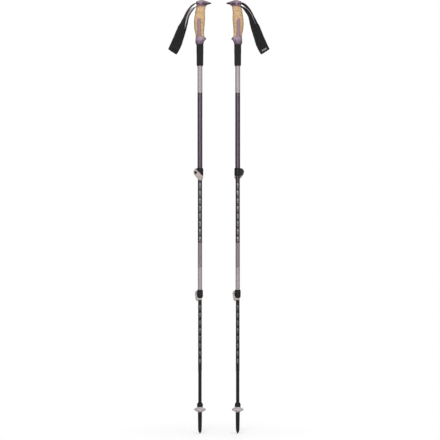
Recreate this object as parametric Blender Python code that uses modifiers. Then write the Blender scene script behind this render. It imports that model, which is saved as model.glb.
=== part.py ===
"""Pair of three-section telescoping trekking poles, standing side by side.

Frame: metres, +Z up, ground under the tips at z = 0, origin midway between the
two shaft axes.  Each pole is built in its own frame (shaft on the local Z axis,
grip beak towards local +X) and the right pole is the left one turned half a
turn about Z.  Lengths below are millimetres, converted by MM.
"""
import math
import bpy
import bmesh
from mathutils import Matrix, Vector

MM = 0.001
SEG = 24                       # steps round most turned pieces
SMALL_SEG = 16                 # steps round plugs, tips and thin rods
WELD = 1e-7                    # metres, vertices closer than this are one
SHARP_ANGLE = 35.0             # degrees, edges bent more than this stay crisp

# ---------------------------------------------------------------- dimensions
SPACING = 122.0                # between the two shaft axes
GAP = 0.3                      # running clearance between neighbouring pieces

R_UPPER, B_UPPER = 8.0, 7.3    # tube outer radius, bore radius
R_MIDDLE, B_MIDDLE = 7.0, 6.3
R_LOWER, B_LOWER = 6.0, 4.8
R_LOWER_END = 5.5              # lower tube below its step
Z_STEP = 201.0                 # step in the lower tube
STEP_HEIGHT = 1.5
Z_LOWER_END = 74.4             # foot of the lower tube
INSERT = 90.0                  # tube overlap at full draw
Z_TUBE_TOP = 1370.0

CAP_HEAD = 3.4                 # head height of the cap on the upper tube
PLUG_HEAD = 6.0                # head height of the plugs on the other two
PLUG_DEPTH = 15.0              # plug foot below the tube's end
PLUG_EDGE = 0.8                # chamfer of a plug's head

Z_UPPER_LOCK = 842.3           # bolt height of the upper lock
Z_LOWER_LOCK = 450.2
S_UPPER, S_LOWER = 1.0, 0.9    # size of the two locks
SEAT = 2.9                     # tube seat above the bolt, times lock size
Z_UPPER_SEAT = Z_UPPER_LOCK + SEAT * S_UPPER
Z_LOWER_SEAT = Z_LOWER_LOCK + SEAT * S_LOWER
Z_MIDDLE_TOP = Z_UPPER_SEAT + INSERT
Z_LOWER_TOP = Z_LOWER_SEAT + INSERT

# ---------------------------------------------------------------- clean start
for old in list(bpy.data.objects):
    bpy.data.objects.remove(old, do_unlink=True)

PART = bpy.data.collections.new("trekking_pole_pair")
CUT = bpy.data.collections.new("cutters")
bpy.context.scene.collection.children.link(PART)
bpy.context.scene.collection.children.link(CUT)

# ---------------------------------------------------------------- materials
# kind of piece: base colour, roughness, metallic
FINISHES = {
    "grip_head": ((0.19, 0.11, 0.16), 0.45, 0.0),
    "grip_cork": ((0.62, 0.41, 0.22), 0.8, 0.0),
    "grip_collar": ((0.30, 0.20, 0.29), 0.55, 0.0),
    "foam_sleeve": ((0.030, 0.030, 0.030), 0.9, 0.0),
    "shaft_cap": ((0.04, 0.04, 0.04), 0.6, 0.0),
    "wrist_strap": ((0.030, 0.030, 0.030), 0.85, 0.0),
    "strap_lining": ((0.50, 0.43, 0.46), 0.85, 0.0),
    "strap_tail": ((0.030, 0.030, 0.030), 0.85, 0.0),
    "strap_wedge": ((0.06, 0.06, 0.06), 0.6, 0.0),
    "strap_pin": ((0.55, 0.55, 0.55), 0.3, 1.0),
    "upper_shaft": ((0.42, 0.38, 0.40), 0.35, 0.8),
    "middle_shaft": ((0.07, 0.06, 0.07), 0.35, 0.8),
    "lower_shaft": ((0.025, 0.025, 0.025), 0.35, 0.8),
    "middle_plug": ((0.05, 0.05, 0.05), 0.6, 0.0),
    "lower_plug": ((0.05, 0.05, 0.05), 0.6, 0.0),
    "lock_clamp": ((0.015, 0.014, 0.013), 0.5, 0.0),
    "lock_lever": ((0.50, 0.44, 0.41), 0.4, 0.0),
    "lock_bolt": ((0.03, 0.03, 0.03), 0.35, 1.0),
    "lock_nut": ((0.45, 0.45, 0.45), 0.35, 1.0),
    "lock_cam": ((0.40, 0.40, 0.40), 0.35, 1.0),
    "ferrule": ((0.020, 0.020, 0.020), 0.5, 0.0),
    "carbide_tip": ((0.30, 0.30, 0.30), 0.3, 1.0),
    "basket": ((0.48, 0.41, 0.43), 0.45, 0.0),
}


def paint(piece, kind):
    """Give the piece its own material, named after it."""
    rgb, roughness, metallic = FINISHES[kind]
    mat = bpy.data.materials.new(piece.name)
    mat.use_nodes = True
    shader = mat.node_tree.nodes["Principled BSDF"]
    shader.inputs["Base Color"].default_value = (*rgb, 1.0)
    shader.inputs["Roughness"].default_value = roughness
    shader.inputs["Metallic"].default_value = metallic
    mat.diffuse_color = (*rgb, 1.0)
    piece.data.materials.clear()
    piece.data.materials.append(mat)


# ---------------------------------------------------------------- mesh helpers
def link(name, data, frame, cutter=False):
    obj = bpy.data.objects.new(name, data)
    if cutter:
        CUT.objects.link(obj)
        obj.hide_render = True
        obj.display_type = 'WIRE'
    else:
        PART.objects.link(obj)
    obj.matrix_world = frame
    return obj


def evaluated_mesh(obj):
    """New mesh holding the object as its modifiers or curve settings make it."""
    depsgraph = bpy.context.evaluated_depsgraph_get()
    return bpy.data.meshes.new_from_object(obj.evaluated_get(depsgraph))


def face_out(bm):
    bmesh.ops.recalc_face_normals(bm, faces=bm.faces)
    if bm.calc_volume(signed=True) < 0.0:
        bmesh.ops.reverse_faces(bm, faces=bm.faces)


def settle(bm, mesh_name):
    """Weld the bmesh, face it out and hand it over as a mesh."""
    bmesh.ops.remove_doubles(bm, verts=bm.verts, dist=WELD)
    face_out(bm)
    mesh = bpy.data.meshes.new(mesh_name)
    bm.to_mesh(mesh)
    bm.free()
    return mesh


def smooth(mesh):
    """Shade round faces smooth and keep sharp edges crisp."""
    for face in mesh.polygons:
        face.use_smooth = True
    bm = bmesh.new()
    bm.from_mesh(mesh)
    for edge in bm.edges:
        if len(edge.link_faces) == 2:
            edge.smooth = edge.calc_face_angle(0.0) < math.radians(SHARP_ANGLE)
    bm.to_mesh(mesh)
    bm.free()


def boolean(piece, cutter, operation='DIFFERENCE', solver='EXACT'):
    mod = piece.modifiers.new(operation.lower(), 'BOOLEAN')
    mod.operation = operation
    mod.object = cutter
    mod.solver = solver


def bevel(piece, width, segments, angle):
    """Bevel of the given width (mm) on edges sharper than angle (degrees)."""
    mod = piece.modifiers.new("bevel", 'BEVEL')
    mod.width = width * MM
    mod.segments = segments
    mod.limit_method = 'ANGLE'
    mod.angle_limit = math.radians(angle)


def turned(name, profile, frame, cutter=False, seg=SEG, ring=False):
    """Piece turned about local Z.  profile: (radius, z) in mm; ring=True
    closes the profile (a piece with a bore)."""
    verts = [(r * MM, 0.0, z * MM) for r, z in profile]
    edges = [(i, i + 1) for i in range(len(verts) - 1)]
    if ring:
        edges.append((len(verts) - 1, 0))
    line = bpy.data.meshes.new(name)
    line.from_pydata(verts, edges, [])
    obj = link(name, line, frame, cutter)
    mod = obj.modifiers.new("screw", 'SCREW')
    mod.axis = 'Z'
    mod.angle = 2.0 * math.pi
    mod.steps = seg
    mod.use_merge_vertices = True
    mod.merge_threshold = 0.00001
    # fix the turned skin as a plain mesh that faces out
    skin = evaluated_mesh(obj)
    obj.modifiers.clear()
    bm = bmesh.new()
    bm.from_mesh(skin)
    bpy.data.meshes.remove(skin)
    obj.data = settle(bm, name)
    return obj


def plate(name, outline, y0, y1, frame, cutter=False):
    """Outline in the XZ plane (mm) filled and drawn out from y0 to y1 (mm)."""
    curve = bpy.data.curves.new(name, 'CURVE')
    curve.dimensions = '2D'
    curve.fill_mode = 'BOTH'
    curve.extrude = abs(y1 - y0) * 0.5 * MM
    spline = curve.splines.new('POLY')
    spline.points.add(len(outline) - 1)
    for point, (x, z) in zip(spline.points, outline):
        point.co = (x * MM, z * MM, 0.0, 1.0)
    spline.use_cyclic_u = True
    curve_obj = bpy.data.objects.new(name + "_curve", curve)
    bpy.context.scene.collection.objects.link(curve_obj)
    filled = evaluated_mesh(curve_obj)
    bpy.data.objects.remove(curve_obj, do_unlink=True)
    bm = bmesh.new()
    bm.from_mesh(filled)
    bpy.data.meshes.remove(filled)
    bmesh.ops.remove_doubles(bm, verts=bm.verts, dist=WELD)
    # curve plane XY -> XZ, extrusion along Y
    bmesh.ops.rotate(bm, verts=bm.verts, cent=(0, 0, 0),
                     matrix=Matrix.Rotation(math.pi / 2, 3, 'X'))
    bmesh.ops.translate(bm, verts=bm.verts, vec=(0, (y0 + y1) * 0.5 * MM, 0))
    bmesh.ops.dissolve_limit(bm, angle_limit=math.radians(0.5),
                             verts=bm.verts, edges=bm.edges)
    return link(name, settle(bm, name), frame, cutter)


def rod(name, radius, y0, y1, x, z, frame, seg=SMALL_SEG, cutter=True):
    """Round bar along Y (mm) centred on x, z; a cutter unless told otherwise."""
    bm = bmesh.new()
    bmesh.ops.create_cone(bm, cap_ends=True, segments=seg, radius1=radius * MM,
                          radius2=radius * MM, depth=abs(y1 - y0) * MM)
    bmesh.ops.rotate(bm, verts=bm.verts, cent=(0, 0, 0),
                     matrix=Matrix.Rotation(-math.pi / 2, 3, 'X'))
    bmesh.ops.translate(bm, verts=bm.verts,
                        vec=(x * MM, (y0 + y1) * 0.5 * MM, z * MM))
    return link(name, settle(bm, name), frame, cutter)


def block(name, x_span, y_span, z_span, frame):
    """Box cutter between the low and high value (mm) of each axis."""
    spans = (x_span, y_span, z_span)
    bm = bmesh.new()
    bmesh.ops.create_cube(bm, size=1.0)
    bmesh.ops.scale(bm, verts=bm.verts, vec=[(high - low) * MM for low, high in spans])
    bmesh.ops.translate(bm, verts=bm.verts,
                        vec=[(low + high) / 2 * MM for low, high in spans])
    return link(name, settle(bm, name), frame, True)


def loft(name, rings, frame, cutter=False, side=None):
    """Skin a list of equal-count rings (points in mm) and cap both ends.  side
    gives each ring point's edge of a band, -1 or 1: the broad faces are then all
    split the same way, so two bands that run side by side stay parallel."""
    bm = bmesh.new()
    rows = [[bm.verts.new((x * MM, y * MM, z * MM)) for x, y, z in ring]
            for ring in rings]
    count = len(rings[0])
    for a, b in zip(rows, rows[1:]):
        for i in range(count):
            j = (i + 1) % count
            if side is None or side[i] == side[j]:
                bm.faces.new((a[i], a[j], b[j], b[i]))
            elif side[i] < side[j]:
                bm.faces.new((a[i], a[j], b[j]))
                bm.faces.new((a[i], b[j], b[i]))
            else:
                bm.faces.new((a[i], a[j], b[i]))
                bm.faces.new((a[j], b[j], b[i]))
    bm.faces.new(rows[0])
    bm.faces.new(rows[-1])
    return link(name, settle(bm, name), frame, cutter)


def finish(piece, kind, origin=None):
    """Fix the modifier result as a plain closed mesh, shade it, colour it and
    put the object's origin at the given point (mm, in the piece's frame)."""
    mesh = evaluated_mesh(piece)
    piece.modifiers.clear()
    # clean up as widely as the mesh allows without opening it
    for near in (2e-6, 5e-7, 1e-7, 0.0):
        bm = bmesh.new()
        bm.from_mesh(mesh)
        if near:
            bmesh.ops.remove_doubles(bm, verts=bm.verts, dist=near)
            bmesh.ops.dissolve_degenerate(bm, edges=bm.edges, dist=near)
            bmesh.ops.dissolve_limit(bm, angle_limit=math.radians(0.3),
                                     verts=bm.verts, edges=bm.edges)
        bmesh.ops.triangulate(bm, faces=[f for f in bm.faces if len(f.verts) > 4])
        if near == 0.0 or all(e.is_manifold for e in bm.edges):
            break
        bm.free()
    face_out(bm)
    bm.to_mesh(mesh)
    bm.free()
    piece.data = mesh
    if origin is not None:
        shift = Vector(origin) * MM
        mesh.transform(Matrix.Translation(-shift))
        piece.matrix_world = piece.matrix_world @ Matrix.Translation(shift)
    smooth(mesh)
    paint(piece, kind)


# ---------------------------------------------------------------- grip
# grip sections: z, back edge x, front edge x, half width
CORK = [
    (1281.3, -13.8, 15.4, 12.9), (1287.0, -14.2, 13.4, 13.1),
    (1295.0, -15.6, 13.4, 13.6), (1303.8, -17.6, 13.9, 14.2),
    (1312.0, -18.7, 14.5, 14.6), (1323.0, -19.2, 15.4, 14.9),
    (1336.0, -18.8, 16.5, 14.9), (1342.5, -18.2, 16.7, 14.7),
    (1349.0, -17.0, 16.5, 14.4), (1355.5, -16.2, 16.1, 14.1),
    (1361.0, -15.2, 16.1, 13.8), (1366.5, -14.6, 16.6, 13.6),
    (1372.0, -12.9, 17.3, 13.3), (1378.7, -11.8, 18.3, 13.0),
]
COLLAR = [
    (1257.0, -12.6, 12.0, 12.0), (1260.0, -14.0, 12.3, 12.4),
    (1264.5, -14.9, 13.0, 13.0), (1271.0, -14.6, 16.6, 13.4),
    (1274.3, -14.3, 20.7, 13.6), (1278.0, -14.1, 18.8, 13.7),
    (1281.0, -14.0, 16.0, 13.6),
]
COLLAR_SLANT = 0.115           # the collar's foot rises towards the front
GRIP_BORE = (1240.0, 1379.5)   # z span of the bore through cork and collar

TONGUE_X = (-9.0, 4.0)         # back and front edge of the collar's tongue
TONGUE_TOP = 1340.0
TONGUE_DEEP = 2.4              # into the cork
TONGUE_PROUD = 0.35            # out of the cork
TONGUE_FOOT = 1279.0
POCKET_FOOT = 1270.0
TONGUE_REACH = 20.0            # half length of the bars along Y, past the grip

# (radius, z)
FOAM_PROFILE = [
    (R_UPPER + GAP, 1259.5), (11.35, 1259.5), (11.3, 1228.0), (10.95, 1222.0),
    (10.9, 1194.0), (10.4, 1189.5), (9.6, 1187.5), (R_UPPER + GAP, 1187.5),
]
FOAM_CUT_HALF = 30.0           # half size of the slanted cutter
FOAM_CUT_HEIGHT = 20.0

# flat mushroom: z, back x, front x, half width, beak reach x, beak half width
HEAD = [
    (1379.0, -12.2, 18.6, 12.9, 18.6, 7.0), (1381.5, -13.0, 20.2, 14.2, 20.4, 7.4),
    (1384.6, -13.5, 21.0, 15.4, 22.4, 8.0), (1387.2, -13.9, 21.6, 16.0, 29.0, 8.2),
    (1388.9, -14.0, 21.8, 16.1, 35.6, 8.0), (1391.2, -14.1, 22.0, 16.2, 36.6, 8.0),
    (1392.9, -13.8, 21.9, 16.0, 31.0, 7.6), (1394.6, -12.3, 21.1, 15.1, 24.2, 7.2),
    (1396.2, -9.0, 19.0, 12.6, 19.6, 6.6), (1397.2, -4.4, 16.2, 9.6, 16.4, 5.6),
    (1398.6, -2.6, 14.6, 8.2, 14.6, 5.0), (1400.0, 0.4, 11.6, 5.2, 11.6, 4.0),
]
BEAK_FROM = 2.0                # x where the oval starts to stretch forwards
HEAD_CAVITY = ((-9.0, 10.5), (-10.8, 10.8), (1382.6, 1394.2))   # x, y, z spans
HEAD_HOLLOW = (6.8, 1378.0, 1380.6)    # radius and z span, under the head

STRAP_PIVOT = (-13.5, 0.0, 1385.0)
MOUTH_RADIUS, MOUTH_HALF = 8.8, 11.6   # opening round the strap pivot, along Y
PIN_X, PIN_Z = 3.6, 1387.0
PIN_RADIUS, PIN_HALF = 2.0, 16.2       # cross pin, along Y
PIN_HOLE = PIN_RADIUS + GAP
TAIL_THICK, TAIL_HALF = 1.5, 10.0      # webbing round the pin
TAIL_BEND = PIN_HOLE + GAP + 0.8       # radius of its mid line
WEDGE = [(-3.4, 1391.9), (9.6, 1391.9), (9.6, 1393.8), (1.0, 1393.8), (-3.4, 1392.9)]  # x, z
WEDGE_HALF = 10.2
WEDGE_ORIGIN = (3.0, 0, 1392.8)


def interpolate(rows, z):
    """Linear lookup in rows sorted by rising z, held at both ends."""
    if z <= rows[0][0]:
        return rows[0][1:]
    for low, high in zip(rows, rows[1:]):
        if z <= high[0]:
            t = (z - low[0]) / (high[0] - low[0])
            return tuple(p + (q - p) * t for p, q in zip(low[1:], high[1:]))
    return rows[-1][1:]


def oval(z, back, front, half, count=24, power=2.25, grow=0.0, tilt=0.0, rear=None):
    """Horizontal grip section between x = back and x = front, y = +-half; rear
    is the power of the back half where it is squarer than the front."""
    centre = (back + front) / 2
    half_x, half_y = (front - back) / 2 + grow, half + grow
    points = []
    for i in range(count):
        angle = 2 * math.pi * i / count
        c, s = math.cos(angle), math.sin(angle)
        exponent = 2 / (rear if rear and c < 0 else power)
        x = centre + half_x * math.copysign(abs(c) ** exponent, c)
        y = half_y * math.copysign(abs(s) ** exponent, s)
        points.append((x, y, z + tilt * (x - centre)))
    return points


def cork_shape(name, bottom, top, frame, grow=0.0, cutter=True):
    """The cork's outside, grown by grow, with its end sections at bottom and top."""
    levels = [bottom] + [row[0] for row in CORK[1:-1]] + [top]
    return loft(name, [oval(z, *interpolate(CORK, z), grow=grow) for z in levels],
                frame, cutter)


def tongue_bar(name, grow, foot, frame):
    """Round-topped bar right through the grip along Y."""
    half_width = (TONGUE_X[1] - TONGUE_X[0]) / 2
    mid = sum(TONGUE_X) / 2
    radius = half_width + grow
    z_centre = TONGUE_TOP - half_width
    outline = [(mid - radius, foot), (mid + radius, foot)]
    outline += [(mid + radius * math.cos(math.pi * k / 10),
                 z_centre + radius * math.sin(math.pi * k / 10)) for k in range(11)]
    return plate(name, outline, -TONGUE_REACH, TONGUE_REACH, frame, True)


def grip_cork(prefix, frame, bore, mouth):
    """Cork body, with a pocket each side for the rubber tongue."""
    cork = cork_shape(prefix + "grip_cork", CORK[0][0], CORK[-1][0], frame, cutter=False)
    core = cork_shape(prefix + "core_b", POCKET_FOOT, 1385.0, frame,
                      grow=-TONGUE_DEEP - GAP)
    pocket = tongue_bar(prefix + "pocket", GAP, POCKET_FOOT, frame)
    boolean(pocket, core)
    boolean(cork, pocket)
    boolean(cork, bore)
    boolean(cork, mouth)
    finish(cork, "grip_cork")


def grip_collar(prefix, frame, bore):
    """Rubber collar with a tongue up each side of the cork."""
    collar = loft(prefix + "grip_collar",
                  [oval(*row, tilt=0.0 if i else COLLAR_SLANT)
                   for i, row in enumerate(COLLAR)], frame)
    tongue = tongue_bar(prefix + "tongue", 0.0, TONGUE_FOOT, frame)
    skin = cork_shape(prefix + "skin", 1276.0, 1385.0, frame, grow=TONGUE_PROUD)
    core = cork_shape(prefix + "core_s", 1268.0, 1390.0, frame, grow=-TONGUE_DEEP)
    boolean(tongue, skin, 'INTERSECT')
    boolean(tongue, core)
    # the exact solver leaves slits where the tongue leaves the collar's top
    boolean(collar, tongue, 'UNION', solver='MANIFOLD')
    boolean(collar, bore, solver='MANIFOLD')
    finish(collar, "grip_collar")


def foam_sleeve(prefix, frame):
    """Foam under the grip, its top cut to the slant of the collar's foot."""
    foam = turned(prefix + "foam_sleeve", FOAM_PROFILE, frame, ring=True)
    bottom = COLLAR[0][0] - GAP
    half = FOAM_CUT_HALF
    boolean(foam, loft(prefix + "foam_slant",
                       [oval(z, -half, half, half, tilt=COLLAR_SLANT)
                        for z in (bottom, bottom + FOAM_CUT_HEIGHT)], frame, True))
    finish(foam, "foam_sleeve")


def head_ring(z, back, front, half, reach, beak_half):
    """Head section, the front of the oval narrowed and pulled out into the beak."""
    ring = []
    for x, y, _ in oval(z, back, front, half, count=28, rear=3.4):
        if x > BEAK_FROM:
            pull = ((x - BEAK_FROM) / (front - BEAK_FROM)) ** 2.2
            narrowing = 1.0 - pull * max(0.0, 1.0 - beak_half / half) * 0.9
            x += (reach - front) * pull * math.exp(-(y / (beak_half * 1.15)) ** 2)
            y *= narrowing
        ring.append((x, y, z))
    return ring


def grip_head(prefix, frame, mouth):
    head = loft(prefix + "grip_head", [head_ring(*row) for row in HEAD], frame)
    boolean(head, mouth)
    boolean(head, block(prefix + "cavity", *HEAD_CAVITY, frame))
    # shallow hollow under the head that opens onto the cork bore
    radius, bottom, top = HEAD_HOLLOW
    boolean(head, turned(prefix + "under", [(0, top), (radius, top), (radius, bottom),
                                            (0, bottom)], frame, True))
    boolean(head, rod(prefix + "pin_hole", PIN_HOLE, -22, 22, PIN_X, PIN_Z, frame))
    finish(head, "grip_head")


def strap_pin(prefix, frame):
    pin = rod(prefix + "strap_pin", PIN_RADIUS, -PIN_HALF, PIN_HALF, PIN_X, PIN_Z, frame,
              cutter=False)
    finish(pin, "strap_pin", (PIN_X, 0, PIN_Z))


def band_outline(points, thickness):
    """Outline of a band of the given thickness along a polyline (x, z)."""
    left, right = [], []
    for i, (x, z) in enumerate(points):
        before = points[max(i - 1, 0)]
        after = points[min(i + 1, len(points) - 1)]
        run = Vector((after[0] - before[0], after[1] - before[1])).normalized()
        offset = Vector((-run.y, run.x)) * thickness / 2
        left.append((x + offset.x, z + offset.y))
        right.append((x - offset.x, z - offset.y))
    return left + right[::-1]


def strap_tail(prefix, frame):
    """Webbing tail round the pin: a C-shaped band open to the rear."""
    path = [(-3.6, PIN_Z + 3.7), (0.0, PIN_Z + 3.6)]
    path += [(PIN_X + TAIL_BEND * math.cos(math.radians(a)),
              PIN_Z + TAIL_BEND * math.sin(math.radians(a))) for a in range(90, -91, -30)]
    path += [(0.0, PIN_Z - 3.3), (-3.6, PIN_Z - 3.1)]
    tail = plate(prefix + "strap_tail", band_outline(path, TAIL_THICK),
                 -TAIL_HALF, TAIL_HALF, frame)
    finish(tail, "strap_tail", (PIN_X, 0, PIN_Z))


def strap_wedge(prefix, frame):
    wedge = plate(prefix + "strap_wedge", WEDGE, -WEDGE_HALF, WEDGE_HALF, frame)
    bevel(wedge, 0.4, segments=1, angle=40)
    finish(wedge, "strap_wedge", WEDGE_ORIGIN)


def plug(prefix, kind, frame, outer, bore, z_end, head):
    """Headed plug in the top of a tube that ends at z_end."""
    top, foot = z_end + head, z_end - PLUG_DEPTH
    piece = turned(prefix + kind, [
        (0, top), (outer - PLUG_EDGE, top), (outer, top - PLUG_EDGE), (outer, z_end + GAP),
        (bore - GAP, z_end + GAP), (bore - GAP, foot + 1.0), (bore - 1.2, foot),
        (0, foot)], frame, seg=SMALL_SEG)
    finish(piece, kind)


def grip(prefix, frame):
    radius = R_UPPER + GAP
    bottom, top = GRIP_BORE
    bore = turned(prefix + "grip_bore", [(0, top), (radius, top), (radius, bottom),
                                         (0, bottom)], frame, True)
    mouth = rod(prefix + "mouth", MOUTH_RADIUS, -MOUTH_HALF, MOUTH_HALF,
                STRAP_PIVOT[0], STRAP_PIVOT[2], frame, 32)
    grip_cork(prefix, frame, bore, mouth)
    grip_collar(prefix, frame, bore)
    foam_sleeve(prefix, frame)
    grip_head(prefix, frame, mouth)
    strap_pin(prefix, frame)
    strap_tail(prefix, frame)
    strap_wedge(prefix, frame)
    plug(prefix, "shaft_cap", frame, R_UPPER, B_UPPER, Z_TUBE_TOP, CAP_HEAD)


# ---------------------------------------------------------------- wrist strap
# stations: x, y, z, width, turn of the band about its run (deg), thickness
STRAP = [
    (-10.0, 0.0, 1389.7, 20.0, 9, 2.4), (-15.0, 0.0, 1389.9, 20.0, 13, 2.4),
    (-21.0, 0.0, 1386.2, 20.5, 16, 2.4), (-28.5, 0.0, 1379.8, 21.0, 17, 2.4),
    (-35.5, 0.0, 1371.4, 21.5, 17, 2.4), (-42.0, 0.0, 1360.6, 22.0, 19, 2.6),
    (-47.6, -0.4, 1347.5, 22.5, 25, 2.8), (-54.6, -1.2, 1329.0, 24.0, 38, 3.0),
    (-60.8, -2.6, 1309.5, 27.0, 62, 3.4), (-66.4, -3.4, 1287.0, 31.0, 82, 3.8),
    (-75.0, -3.7, 1262.0, 34.5, 90, 4.0), (-82.6, -3.7, 1245.6, 34.0, 90, 4.0),
    (-87.2, -3.2, 1236.9, 33.0, 90, 3.6), (-88.6, -1.6, 1234.3, 32.4, 90, 3.0),
    (-89.0, 0.0, 1233.6, 32.2, 90, 2.8), (-88.6, 1.6, 1234.3, 32.4, 90, 3.0),
    (-87.2, 3.2, 1236.9, 33.0, 90, 3.6), (-82.6, 3.7, 1245.6, 34.0, 90, 4.0),
    (-75.0, 3.7, 1262.0, 34.5, 90, 4.0), (-65.6, 3.8, 1286.0, 31.0, 86, 3.8),
    (-55.0, 4.0, 1307.0, 25.0, 64, 3.2), (-48.0, 3.0, 1323.0, 22.5, 48, 2.8),
    (-43.0, 1.6, 1339.5, 21.5, 38, 2.4), (-37.6, 0.4, 1353.0, 21.0, 32, 2.4),
    (-28.6, 0.0, 1365.4, 20.5, 26, 2.4), (-20.4, 0.0, 1373.4, 20.0, 14, 2.4),
    (-15.0, 0.0, 1377.8, 20.0, 5, 2.4), (-10.0, 0.0, 1379.8, 20.0, 0, 2.4),
]
TURN_STEP = 7.0                # most turn between neighbouring sections, degrees
FOLD = (0.833, 0.0, -0.553)    # direction of the fold line at the foot of the loop
LINING_OFF = 0.9               # clear air between the lining and its strand
LINING_THICK = 0.8
LINING_INSET = 1.6             # lining edge inside the strap's edge
LINING_FROM, LINING_TO = 18.0, 25.4    # places along STRAP


def dense(stations):
    """Smooth extra stations wherever the band turns fast; each keeps its place
    along the given list as a seventh value."""
    out = []
    count = len(stations)
    for i in range(count - 1):
        a, b = stations[i], stations[i + 1]
        before, after = stations[max(i - 1, 0)], stations[min(i + 2, count - 1)]
        parts = max(1, int(math.ceil(abs(b[4] - a[4]) / TURN_STEP)))
        for k in range(parts):
            t = k / parts
            # Catmull-Rom for the place, linear for the section
            xyz = [0.5 * (2 * a[j] + (b[j] - before[j]) * t
                          + (2 * before[j] - 5 * a[j] + 4 * b[j] - after[j]) * t * t
                          + (3 * a[j] - before[j] - 3 * b[j] + after[j]) * t ** 3)
                   for j in range(3)]
            section = [a[j] + (b[j] - a[j]) * t for j in range(3, 6)]
            out.append((*xyz, *section, i + t))
    out.append((*stations[-1], count - 1.0))
    return out


def band_rings(stations):
    """Flat sections with cut corners, square to the run.  The width lies along Y
    at 0 deg and, at 90 deg, across the run in the XZ plane."""
    centres = [Vector(station[:3]) for station in stations]
    rings = []
    for i, station in enumerate(stations):
        run = (centres[min(i + 1, len(centres) - 1)] - centres[max(i - 1, 0)]).normalized()
        flat = Vector((-run.z, 0.0, run.x))
        if flat.length > 0.6:
            flat.normalize()
            if flat.x < 0:
                flat = -flat
        else:
            flat = Vector(FOLD)
        turn = math.radians(station[4])
        across = Vector((0, 1, 0)) * math.cos(turn) - flat * math.sin(turn)
        across = (across - run * across.dot(run)).normalized()
        normal = run.cross(across).normalized()
        w, h = station[3] / 2, station[5] / 2
        k = min(0.8, h * 0.8)
        section = [(-w + k, -h), (w - k, -h), (w, -h + k), (w, h - k),
                   (w - k, h), (-w + k, h), (-w, h - k), (-w, -h + k)]
        rings.append([tuple(centres[i] + across * a + normal * b) for a, b in section])
    return rings


def wrist_strap(prefix, frame, rings):
    strap = loft(prefix + "wrist_strap", rings, frame, side=(-1, 1, 1, 1, 1, -1, -1, -1))
    finish(strap, "wrist_strap", STRAP_PIVOT)


def strap_lining(prefix, frame, stations, rings):
    """Follows the inner strand, on the side that faces the outer one."""
    lining_rings = []
    for station, ring in zip(stations, rings):
        if not LINING_FROM <= station[6] <= LINING_TO:
            continue
        points = [Vector(p) for p in ring]
        centre = sum(points, Vector()) / len(points)
        across = (points[2] - points[7]).normalized()
        normal = (points[4] - points[1]).normalized()
        if normal.x + 2.0 * normal.y > 0:      # the outer strand lies to -X, -Y
            normal = -normal
        centre = centre + normal * (station[5] / 2 + LINING_OFF + LINING_THICK / 2)
        w, h = station[3] / 2 - LINING_INSET, LINING_THICK / 2
        lining_rings.append([tuple(centre + across * a + normal * b)
                             for a, b in ((-w, -h), (w, -h), (w, h), (-w, h))])
    lining = loft(prefix + "strap_lining", lining_rings, frame, side=(-1, 1, 1, -1))
    finish(lining, "strap_lining", STRAP_PIVOT)


# ---------------------------------------------------------------- lever lock
# Lock frame: bolt height at z = 0, ears at -X, lever at -Y.  These lengths are
# multiplied by the lock's size, except where a line says plain mm.
PIVOT_X = -13.8                # bolt axis
CLAMP_TOP, CLAMP_FOOT = 15.5, -10.4
NECK_FOOT = -13.7              # foot of a clamp with a neck below it
CLAMP_RADIUS = 10.8
EAR_X, EAR_Z, EAR_RADIUS = -8.2, 2.4, 11.7
EAR_HALF = 9.0                 # half width of the ears along Y
EAR_CORE = 9.0                 # radius cleared round the tube
SLIT_HALF = 0.9
SHANK = 2.0                    # bolt shank radius, plain mm
BOLT_HOLE = SHANK + GAP        # plain mm
BOLT_HEAD = 4.4                # radius
SOCKET = 2.0                   # radius
NUT_RADIUS, NUT_Y = 4.1, 6.2   # nut, and the floor of its pocket
CAM_RADIUS = 5.6
LEVER_IN, LEVER_OUT = -11.3, -17.4     # y of the lever's faces
# lever outline: x, z
LEVER = [
    (-12.3, 10.9), (-7.8, 5.8), (-3.6, 1.9), (2.6, -4.3), (8.7, -10.1), (10.7, -14.3),
    (10.0, -18.5), (6.8, -22.4), (1.3, -24.6), (-4.2, -23.0), (-8.1, -18.8),
    (-13.3, -13.0), (-18.1, -5.9), (-19.7, 0.6), (-18.4, 7.0), (-15.5, 10.6),
]
SWEEP = 28.2                   # nearest saddle material to the bolt
SWEEP_ANGLES = (-58, -54, -48, -42, -36, -30.8)
# limit of the lever seen along X: distance towards -Y, z
ROLL = [
    (-14.0, 14.0), (14.2, 14.0), (16.2, 10.6), (17.1, 7.0), (17.5, 2.0), (17.5, -6.0),
    (17.2, -11.5), (16.2, -16.6), (14.4, -21.0), (11.8, -25.4), (-14.0, -25.4),
]


def scaled(points, size):
    return [(a * size, b * size) for a, b in points]


def bolt_rod(name, radius, y0, y1, size, frame, seg=SMALL_SEG, cutter=True):
    """Bar on the bolt axis; radius and y in plain mm."""
    return rod(name, radius, y0, y1, PIVOT_X * size, 0, frame, seg, cutter)


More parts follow.
